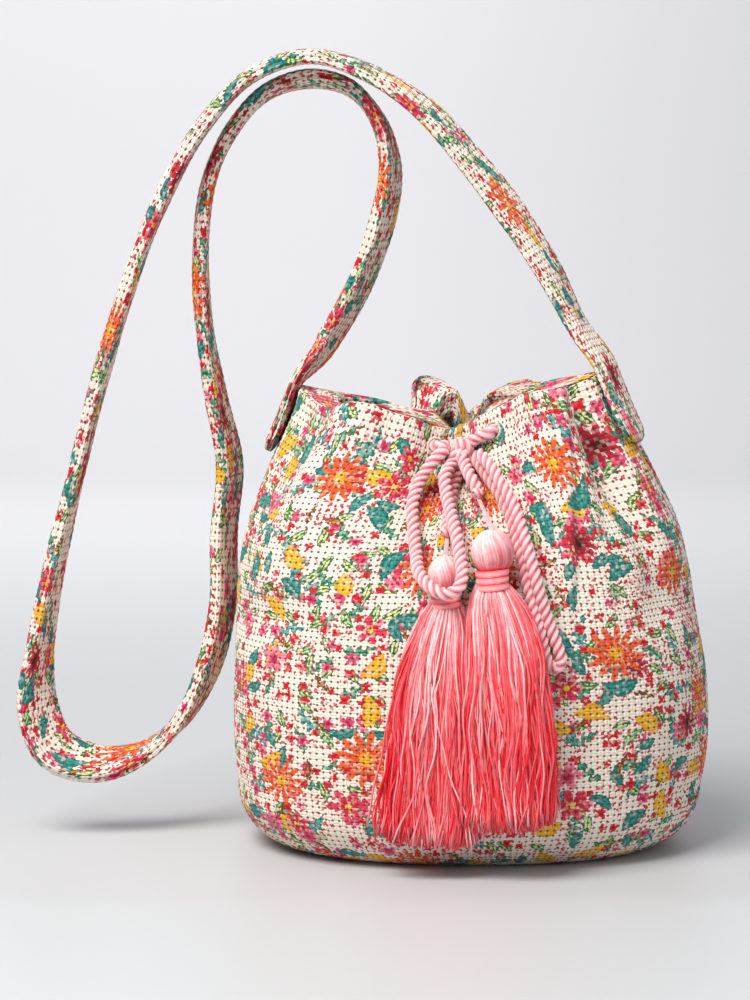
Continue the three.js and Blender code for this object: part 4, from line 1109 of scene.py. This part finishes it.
def flower_group():
    takes = [("Cloth", "Vector"), ("Spacing", "Float"), ("Reach", "Float"), ("Petals", "Float"),
             ("Notch", "Float"), ("Share", "Float"), ("Seed", "Float")]
    tree, given, result = new_group("flower", takes, [("Flower", "Float"), ("Out", "Float"), ("Swing", "Float"), ("Chance", "Float")])
    way, size, shown, chance = scattered(tree, given)
    far = add(tree, "ShaderNodeVectorMath", {0: way}, 1, operation="LENGTH")
    x = add(tree, "ShaderNodeSeparateXYZ", {0: way}, 0)
    turn = add(tree, "ShaderNodeMath", {0: x.node.outputs[1], 1: x}, operation="ARCTAN2")
    swing = add(tree, "ShaderNodeMath", {0: turn, 1: given.outputs["Petals"]}, operation="MULTIPLY")
    swing = add(tree, "ShaderNodeMath", {0: swing, 1: 0.5}, operation="MULTIPLY")
    swing = add(tree, "ShaderNodeMath", {0: swing}, operation="COSINE")
    swing = add(tree, "ShaderNodeMath", {0: swing}, operation="ABSOLUTE")
    swing = add(tree, "ShaderNodeMath", {0: swing, 1: 0.75}, operation="POWER")
    cut = add(tree, "ShaderNodeMath", {0: 1.0, 1: given.outputs["Notch"]}, operation="SUBTRACT")
    edge = add(tree, "ShaderNodeMix", {0: swing, 2: cut, 3: 1.0})
    edge = add(tree, "ShaderNodeMath", {0: edge, 1: given.outputs["Reach"]}, operation="MULTIPLY")
    edge = add(tree, "ShaderNodeMath", {0: edge, 1: size}, operation="MULTIPLY")
    out = add(tree, "ShaderNodeMath", {0: far, 1: edge}, operation="DIVIDE")
    within = add(tree, "ShaderNodeMath", {0: out, 1: 1.0}, operation="LESS_THAN")
    within = add(tree, "ShaderNodeMath", {0: within, 1: shown}, operation="MULTIPLY")
    for name, value in (("Flower", within), ("Out", out), ("Swing", swing), ("Chance", chance)):
        tree.links.new(value, result.inputs[name])
    return tree


def leaf_group():
    takes = [("Cloth", "Vector"), ("Spacing", "Float"), ("Reach", "Float"), ("Width", "Float"),
             ("Leaflets", "Float"), ("Share", "Float"), ("Seed", "Float")]
    tree, given, result = new_group("leaf", takes, [("Leaf", "Float"), ("Rib", "Float"), ("Out", "Float")])
    way, size, shown, chance = scattered(tree, given)
    x = add(tree, "ShaderNodeSeparateXYZ", {0: way}, 0)
    bent = add(tree, "ShaderNodeMath", {0: x, 1: x}, operation="MULTIPLY")
    bent = add(tree, "ShaderNodeMath", {0: bent, 1: 0.03, 2: x.node.outputs[1]}, operation="MULTIPLY_ADD")
    reach = add(tree, "ShaderNodeMath", {0: given.outputs["Reach"], 1: size}, operation="MULTIPLY")
    along = add(tree, "ShaderNodeMath", {0: x, 1: reach}, operation="DIVIDE")
    lens = add(tree, "ShaderNodeMath", {0: along, 1: along}, operation="MULTIPLY")
    lens = add(tree, "ShaderNodeMath", {0: 1.0, 1: lens}, operation="SUBTRACT")
    side = add(tree, "ShaderNodeMath", {0: bent}, operation="SIGN")
    comb = add(tree, "ShaderNodeMath", {0: along, 1: given.outputs["Leaflets"], 2: side}, operation="MULTIPLY_ADD")
    comb = add(tree, "ShaderNodeMath", {0: comb}, operation="SINE")
    comb = add(tree, "ShaderNodeMath", {0: comb}, operation="ABSOLUTE")
    combed = add(tree, "ShaderNodeMath", {0: given.outputs["Leaflets"], 1: 0.5}, operation="GREATER_THAN")
    comb = add(tree, "ShaderNodeMix", {0: combed, 2: 1.0, 3: comb})
    edge = add(tree, "ShaderNodeMath", {0: lens, 1: given.outputs["Width"]}, operation="MULTIPLY")
    edge = add(tree, "ShaderNodeMath", {0: edge, 1: comb}, operation="MULTIPLY")
    away = add(tree, "ShaderNodeMath", {0: bent}, operation="ABSOLUTE")
    leaf = add(tree, "ShaderNodeMath", {0: away, 1: edge}, operation="LESS_THAN")
    rib = add(tree, "ShaderNodeMath", {0: away, 1: 0.45}, operation="LESS_THAN")
    lens_on = add(tree, "ShaderNodeMath", {0: lens, 1: 0.02}, operation="GREATER_THAN")
    rib = add(tree, "ShaderNodeMath", {0: rib, 1: lens_on}, operation="MULTIPLY")
    for name, value in (("Leaf", leaf), ("Rib", rib)):
        value = add(tree, "ShaderNodeMath", {0: value, 1: shown}, operation="MULTIPLY")
        tree.links.new(value, result.inputs[name])
    out = add(tree, "ShaderNodeMath", {0: away, 1: edge}, operation="DIVIDE")
    tree.links.new(out, result.inputs["Out"])
    return tree


flower, leaf = flower_group(), leaf_group()
print("motif groups:", flower.name, len(flower.nodes), leaf.name, len(leaf.nodes))

# %% [markdown]
# A print on coarse cloth never has a clean edge: the ink sits on whole threads, so an edge
# steps from thread to thread. The print's coordinates are therefore pulled halfway to the
# middle of each thread crossing and shaken a little, before any motif is drawn. The motifs
# are laid over each other from the ground up: speckle, sprigs, leaves, then flowers.

# %% Printed canvas
def over(tree, below, mask, ink):
    """Lays an ink over a colour where the mask is 1."""
    return add(tree, "ShaderNodeMix", {0: mask, 6: below, 7: ink}, 2, data_type="RGBA")


MOTIFS = [  # kind, spacing, reach, petals or half width, notch or leaflets, share, seed, inks
    ("leaf", 24, 10.0, 3.6, 6.5, 0.5, 3.1, "#256f52", "#55a585"),
    ("leaf", 28, 12.0, 4.4, 8.0, 0.46, 17.7, "#1f7a78", "#5cada4"),
    ("leaf", 15, 6.5, 2.7, 0, 0.42, 29.9, "#286a40", "#d8e098"),
    ("leaf", 19, 6.8, 2.7, 0, 0.36, 37.3, "#357848", "#c8da96"),
    ("flower", 8.4, 3.1, 4, 0.62, 0.4, 12.9, "#cf1228", "#da2436", "#a01022", 0.22),
    ("flower", 12.0, 3.9, 5, 0.6, 0.24, 23.3, "#d0265c", "#e25480", "#a4143c", 0.28),
    ("leaf", 20, 7.6, 3.3, 0, 0.3, 8.3, "#17706c", "#359188"),
    ("leaf", 26, 7.2, 2.5, 5.0, 0.32, 41.3, "#623a16", "#cc8230"),
    ("leaf", 30, 9.0, 4.9, 0, 0.42, 5.7, "#e29e1c", "#eeb932"),
    ("flower", 32, 7.6, 5, 0.62, 0.28, 31.1, "#dc466e", "#f0849c", "#b41844", 0.28),
    ("flower", 38, 9.2, 6, 0.68, 0.3, 47.9, "#c41a40", "#e04060", "#ecb834", 0.2),
    ("leaf", 35, 10.4, 4.9, 0, 0.34, 61.7, "#13706c", "#349288"),
    ("flower", 52, 10.8, 10, 0.62, 0.34, 53.3, "#9c1424", "#c62a44", "#541018", 0.28),
    ("flower", 62, 15.5, 12, 0.75, 0.46, 67.1, "#de4622", "#e96236", "#e6a820", 0.26),
]
KINDS = {"leaf": ("Width", "Leaflets"), "flower": ("Petals", "Notch")}


def printed_canvas(name, seed, stretch=(1, 1, 1), ground="#f4e8d9"):
    made = bpy.data.materials.new(name)
    made.use_nodes = True
    tree = made.node_tree
    tree.nodes.clear()
    cloth = add(tree, "ShaderNodeUVMap", uv_map="cloth")
    height = add(tree, "ShaderNodeGroup", {"Cloth": cloth}, "Height", node_tree=weave)
    hole = height.node.outputs["Hole"]

    # Ink keeps to whole threads, with a little bleed
    steps = add(tree, "ShaderNodeVectorMath", {0: cloth, 1: (CELL / 2, CELL / 2, 1)}, operation="SNAP")
    steps = add(tree, "ShaderNodeVectorMath", {0: steps, 1: (CELL / 4, CELL / 4, 0)}, operation="ADD")
    inked = add(tree, "ShaderNodeMix", {0: 0.4, 4: cloth, 5: steps}, 1, data_type="VECTOR")
    bleed = add(tree, "ShaderNodeTexNoise", {"Vector": cloth, "Scale": 0.55, "Detail": 2.0}, 1, noise_dimensions="2D")
    bleed = add(tree, "ShaderNodeVectorMath", {0: bleed, 1: (0.5, 0.5, 0.5)}, operation="SUBTRACT")
    inked = add(tree, "ShaderNodeVectorMath", {0: bleed, 1: (1.1, 1.1, 0), 2: inked}, operation="MULTIPLY_ADD")
    inked = add(tree, "ShaderNodeVectorMath", {0: inked, 1: stretch}, operation="MULTIPLY")

    # Ground with the uneven tone of undyed thread, and speckle in patches
    uneven = add(tree, "ShaderNodeTexNoise", {"Vector": cloth, "Scale": 0.02, "Detail": 3.0}, noise_dimensions="2D")
    ink = add(tree, "ShaderNodeMix", {0: uneven, 6: colour(ground), 7: colour("#ecdccb")}, 2, data_type="RGBA")
    patches = add(tree, "ShaderNodeTexNoise", {"Vector": cloth, "Scale": 0.045, "Detail": 1.0}, noise_dimensions="2D")
    clusters = add(tree, "ShaderNodeTexNoise", {"Vector": cloth, "Scale": 0.03, "Detail": 1.0}, 1, noise_dimensions="2D")
    clusters = add(tree, "ShaderNodeSeparateColor", {0: clusters}, 1)
    share = add(tree, "ShaderNodeMapRange", {0: patches, 1: 0.44, 2: 0.6, 3: 0.06, 4: 0.8})
    dots = add(tree, "ShaderNodeGroup", {
        "Cloth": inked, "Spacing": 3.3, "Reach": 1.15, "Petals": 2.0, "Notch": 0.5, "Share": share, "Seed": seed + 71.9,
    }, "Flower", node_tree=flower)
    dot_ink = add(tree, "ShaderNodeMix", {0: dots.node.outputs["Chance"], 6: colour("#bc1230"), 7: colour("#e45a70")}, 2, data_type="RGBA")
    ink = over(tree, ink, dots, dot_ink)

    for kind, spacing, reach, one, two, part, own, first, second, *heart in MOTIFS:
        if heart and spacing < 12:
            part = add(tree, "ShaderNodeMapRange", {0: clusters, 1: 0.42, 2: 0.6, 3: 0.12, 4: 1.7 * part})
        motif = add(tree, "ShaderNodeGroup", {
            "Cloth": inked, "Spacing": spacing, "Reach": reach, KINDS[kind][0]: one, KINDS[kind][1]: two,
            "Share": part, "Seed": seed + own,
        }, kind.capitalize(), node_tree=leaf if kind == "leaf" else flower)
        given = motif.node.outputs
        if kind == "leaf":
            inside = add(tree, "ShaderNodeMapRange", {0: given["Out"], 1: 0.4, 2: 0.7, 3: 1.0, 4: 0.0})
            hue = add(tree, "ShaderNodeMix", {0: inside, 6: colour(first), 7: colour(second)}, 2, data_type="RGBA")
            hue = over(tree, hue, given["Rib"], colour(first))
        else:
            fade = add(tree, "ShaderNodeMapRange", {0: given["Out"], 1: 0.35, 2: 0.95})
            hue = add(tree, "ShaderNodeMix", {0: fade, 6: colour(first), 7: colour(second)}, 2, data_type="RGBA")
            seam = add(tree, "ShaderNodeMapRange", {0: given["Swing"], 1: 0.3, 2: 0.55, 3: 0.6, 4: 0.0})
            hue = over(tree, hue, seam, colour(heart[0]))
            core = add(tree, "ShaderNodeMath", {0: given["Out"], 1: heart[1]}, operation="LESS_THAN")
            hue = over(tree, hue, core, colour(heart[0]))
        ink = over(tree, ink, motif, hue)

    # Some threads took less ink than others
    bare = add(tree, "ShaderNodeTexNoise", {"Vector": steps, "Scale": 0.8, "Detail": 1.0}, noise_dimensions="2D")
    bare = add(tree, "ShaderNodeMapRange", {0: bare, 1: 0.3, 2: 0.46, 3: 0.4, 4: 0.0})
    ink = over(tree, ink, bare, colour(ground))

    # The flanks of the threads see less of the sky than their tops, so painted shade darkens them, and the holes get a
    # painted shade of dark brown
    lit = add(tree, "ShaderNodeMapRange", {0: height, 1: 0.0, 2: 0.7, 3: 0.74, 4: 1.0})
    ink = add(tree, "ShaderNodeMix", {0: 1.0, 6: ink, 7: lit}, 2, data_type="RGBA", blend_type="MULTIPLY")
    ink = over(tree, ink, hole, colour("#6e5040"))
    fibre = add(tree, "ShaderNodeTexNoise", {"Vector": cloth, "Scale": 3.2, "Detail": 3.0, "Roughness": 0.6}, noise_dimensions="2D")
    rough = add(tree, "ShaderNodeMapRange", {0: fibre, 3: 0.8, 4: 0.98})
    relief = add(tree, "ShaderNodeMath", {0: fibre, 1: 0.16, 2: height}, operation="MULTIPLY_ADD")
    bump = add(tree, "ShaderNodeBump", {"Strength": 1.0, "Distance": 0.45 * MM, "Height": relief})
    shader = add(tree, "ShaderNodeBsdfPrincipled", {
        "Base Color": ink, "Roughness": rough, "Normal": bump, "IOR": 1.5,
        "Specular IOR Level": 0.2, "Sheen Weight": 0.05, "Sheen Roughness": 0.6,
    })
    tree.links.new(shader, tree.nodes.new("ShaderNodeOutputMaterial").inputs["Surface"])
    return made


canvas_cotton = printed_canvas("printed_basket_weave_cotton", 0.0)
for piece in (canvas_wall, neck_band, base_canvas):
    piece.data.materials.append(canvas_cotton)
strap_cotton = printed_canvas("strap_basket_weave_cotton", 7.4, (1.5, 1.0, 1))
strap.data.materials.append(strap_cotton)
print("canvas material nodes:", len(canvas_cotton.node_tree.nodes))

# %% [markdown]
# ## Cotton rope and tassel yarn
# Both are dyed cotton, but they catch the light differently. The rope is hard twisted into smooth
# strands, and its colour carries painted light: a painted highlight makes the crests light and
# painted shade makes the valleys between them deep pink. The mesh knows how high each point
# stands in the twist and passes it on as an attribute, which picks that painted light and
# shade. Fine slanting lines across each strand are its own yarns; they are bumped, and also
# painted a little lighter and darker as painted shade. The tassel yarn is loose and soft: each
# thread has its own tone at random, and on top of that painted shade makes the inside of the
# hank deep rose and a painted highlight makes the highlit and stray threads near white.

# %% Rope and yarn materials
def dyed_cotton(name, tones, fine, fine_turn, fine_depth, roughness, sheen, light_depth):
    """Cotton whose colour is a ramp over the mesh's shade attribute, which holds painted light and shade besides tone;
    light_depth is how far light wanders in it, in mm.
    """
    made = bpy.data.materials.new(name)
    made.use_nodes = True
    tree = made.node_tree
    tree.nodes.clear()
    place = add(tree, "ShaderNodeTexCoord", out="Object")
    shade = add(tree, "ShaderNodeAttribute", out="Fac", attribute_name="shade")
    mottle = add(tree, "ShaderNodeTexNoise", {"Vector": place, "Scale": 320.0, "Detail": 3.0})
    cloth = add(tree, "ShaderNodeUVMap", uv_map="cloth")
    lines = add(tree, "ShaderNodeVectorRotate", {"Vector": cloth, "Angle": math.radians(fine_turn)}, rotation_type="Z_AXIS")
    lines = add(tree, "ShaderNodeTexWave", {"Vector": lines, "Scale": fine, "Distortion": 1.2, "Detail": 2.0}, 1, bands_direction="X")
    # The ramp's place comes from the shade attribute with its painted light and shade, mottle for the cotton's own
    # uneven tone, and the fine lines as painted shade of the yarns' ridges
    tone = add(tree, "ShaderNodeMath", {0: mottle, 1: 0.3, 2: shade}, operation="MULTIPLY_ADD")
    tone = add(tree, "ShaderNodeMath", {0: lines, 1: 0.16, 2: tone}, operation="MULTIPLY_ADD")
    tone = add(tree, "ShaderNodeMath", {0: tone, 1: 0.22}, operation="SUBTRACT", use_clamp=True)
    ramp = add(tree, "ShaderNodeValToRGB", {0: tone})
    marks = ramp.node.color_ramp.elements
    marks[0].position, marks[0].color = tones[0][0], colour(tones[0][1])
    marks[1].position, marks[1].color = tones[-1][0], colour(tones[-1][1])
    for at, code in tones[1:-1]:
        marks.new(at).color = colour(code)
    height = add(tree, "ShaderNodeMath", {0: lines, 1: mottle}, operation="ADD")
    bump = add(tree, "ShaderNodeBump", {"Strength": 0.6, "Distance": fine_depth * MM, "Height": height})
    shader = add(tree, "ShaderNodeBsdfPrincipled", {
        "Base Color": ramp, "Roughness": roughness, "Normal": bump, "IOR": 1.5,
        "Specular IOR Level": 0.1, "Sheen Weight": sheen, "Sheen Roughness": 0.5,
        "Subsurface Weight": 0.35, "Subsurface Radius": (1.0, 0.3, 0.25), "Subsurface Scale": light_depth * MM,
    })
    tree.links.new(shader, tree.nodes.new("ShaderNodeOutputMaterial").inputs["Surface"])
    return made


# The rope's ramp: deep pink is painted shade in the valleys, near white a painted highlight on the crests
rope_cotton = dyed_cotton(
    "twisted_rope_cotton", [(0.0, "#d85c70"), (0.35, "#ec929e"), (0.7, "#f5b4ba"), (1.0, "#fdd9d7")],
    0.6, 62, 0.35, 0.75, 0.12, 1.0,
)
# The yarn's ramp runs from deep red, used for painted shade, to near white, used for painted highlights; each thread's
# own random tone moves along it too
yarn_cotton = dyed_cotton(
    "tassel_yarn_cotton", [(0.0, "#da1624"), (0.28, "#ea3a46"), (0.55, "#f26c72"), (0.8, "#f8a8ae"), (1.0, "#ffdcda")],
    0.5, 35, 0.15, 0.85, 0.03, 0.4,
)
for piece in (drawcord, left_cord, right_cord, left_end_knot, right_end_knot, *knot_pieces):
    piece.data.materials.append(rope_cotton)
# The binding thread's twist gets the same painted shade in its valleys and painted highlight on its crests
binding_cotton = dyed_cotton(
    "binding_thread_cotton", [(0.0, "#cdbba4"), (0.4, "#e9dcc8"), (1.0, "#f8f0e2")], 0.5, 62, 0.2, 0.85, 0.1, 1.0
)
for piece in bindings:
    piece.data.materials.append(binding_cotton)
for piece in (*heads.values(), *necks.values(), *skirts.values()):
    piece.data.materials.append(yarn_cotton)
print("cotton materials:", rope_cotton.name, yarn_cotton.name)

# %% [markdown]
# ## Studio
# The bag stands on white paper that curves up behind it. One large soft light high at the
# front left leaves the right flank in gentle shade, and a weak wide one fills from the right.
# The paper's far end has a light of its own, as it's too far away for the first one.

# %% Paper sweep
def make_sweep():
    curve = np.linspace(0, np.pi / 2, 12)[1:]
    depth = np.concatenate([np.linspace(-7.0, 2.2, 14), 2.2 + 1.0 * np.sin(curve), [3.2]])
    height = np.concatenate([np.zeros(14), 1.0 - 1.0 * np.cos(curve), [3.6]])
    across = np.linspace(-3.4, 3.4, 9)
    points = [(x, y, z) for y, z in zip(depth, height) for x in across]
    quads, _ = grid_faces(len(depth), len(across), False, False)
    mesh = bpy.data.meshes.new("paper_sweep")
    mesh.from_pydata(points, [], quads.tolist())
    mesh.shade_smooth()
    sweep = bpy.data.objects.new("paper_sweep", mesh)
    bpy.context.scene.collection.objects.link(sweep)
    made = bpy.data.materials.new("matt_paper")
    made.use_nodes = True
    tree = made.node_tree
    paper = tree.nodes["Principled BSDF"]
    place = add(tree, "ShaderNodeTexCoord", out="Object")
    deep = add(tree, "ShaderNodeSeparateXYZ", {0: place}, 1)
    edge = add(tree, "ShaderNodeMapRange", {0: deep, 1: -0.172, 2: -0.146, 3: 1.0, 4: 0.0}, interpolation_type="SMOOTHSTEP")
    # Painted shade makes the paper darker towards the right, and painted light makes it lighter towards the back; a
    # strip at the front has a tone of its own
    shaded = add(tree, "ShaderNodeMapRange", {0: deep.node.outputs[0], 1: -0.1, 2: 0.5, 3: 1.0, 4: 0.9})
    back = add(tree, "ShaderNodeMapRange", {0: deep, 1: 0.3, 2: 2.0}, interpolation_type="SMOOTHSTEP")
    tone = add(tree, "ShaderNodeMix", {0: back, 6: colour("#bec1c4"), 7: colour("#e9e9eb")}, 2, data_type="RGBA")
    tone = add(tree, "ShaderNodeVectorMath", {0: tone, "Scale": shaded}, operation="SCALE")
    tone = add(tree, "ShaderNodeMix", {0: edge, 6: tone, 7: colour("#bfc4c7")}, 2, data_type="RGBA")
    tree.links.new(tone, paper.inputs["Base Color"])
    paper.inputs["Roughness"].default_value = 0.45
    mesh.materials.append(made)
    return sweep


sweep = make_sweep()

# %% Lights
def soft_light(name, place, aim, width, power, tint="#ffffff"):
    lamp = bpy.data.lights.new(name, "AREA")
    lamp.shape, lamp.size, lamp.energy, lamp.color = "SQUARE", width, power, colour(tint)[:3]
    made = bpy.data.objects.new(name, lamp)
    bpy.context.scene.collection.objects.link(made)
    made.location = place
    made.rotation_euler = (Vector(place) - Vector(aim)).to_track_quat("Z", "Y").to_euler()
    return made


key = soft_light("key_light", (-0.75, -1.0, 1.75), (0, 0, 0.15), 1.1, 57, "#fffaf4")
fill = soft_light("fill_light", (1.5, -1.2, 0.9), (0, 0, 0.2), 1.4, 4)
backdrop = soft_light("backdrop_light", (-0.4, 1.1, 1.8), (0.1, 3.2, 0.6), 1.2, 20)
world = bpy.data.worlds.new("studio")
bpy.context.scene.world = world
world.use_nodes = True
world.node_tree.nodes["Background"].inputs["Color"].default_value = colour("#eef1f7")
world.node_tree.nodes["Background"].inputs["Strength"].default_value = 0.5
bpy.context.scene.view_settings.view_transform = "Standard"
print("lights:", key.name, fill.name, backdrop.name)
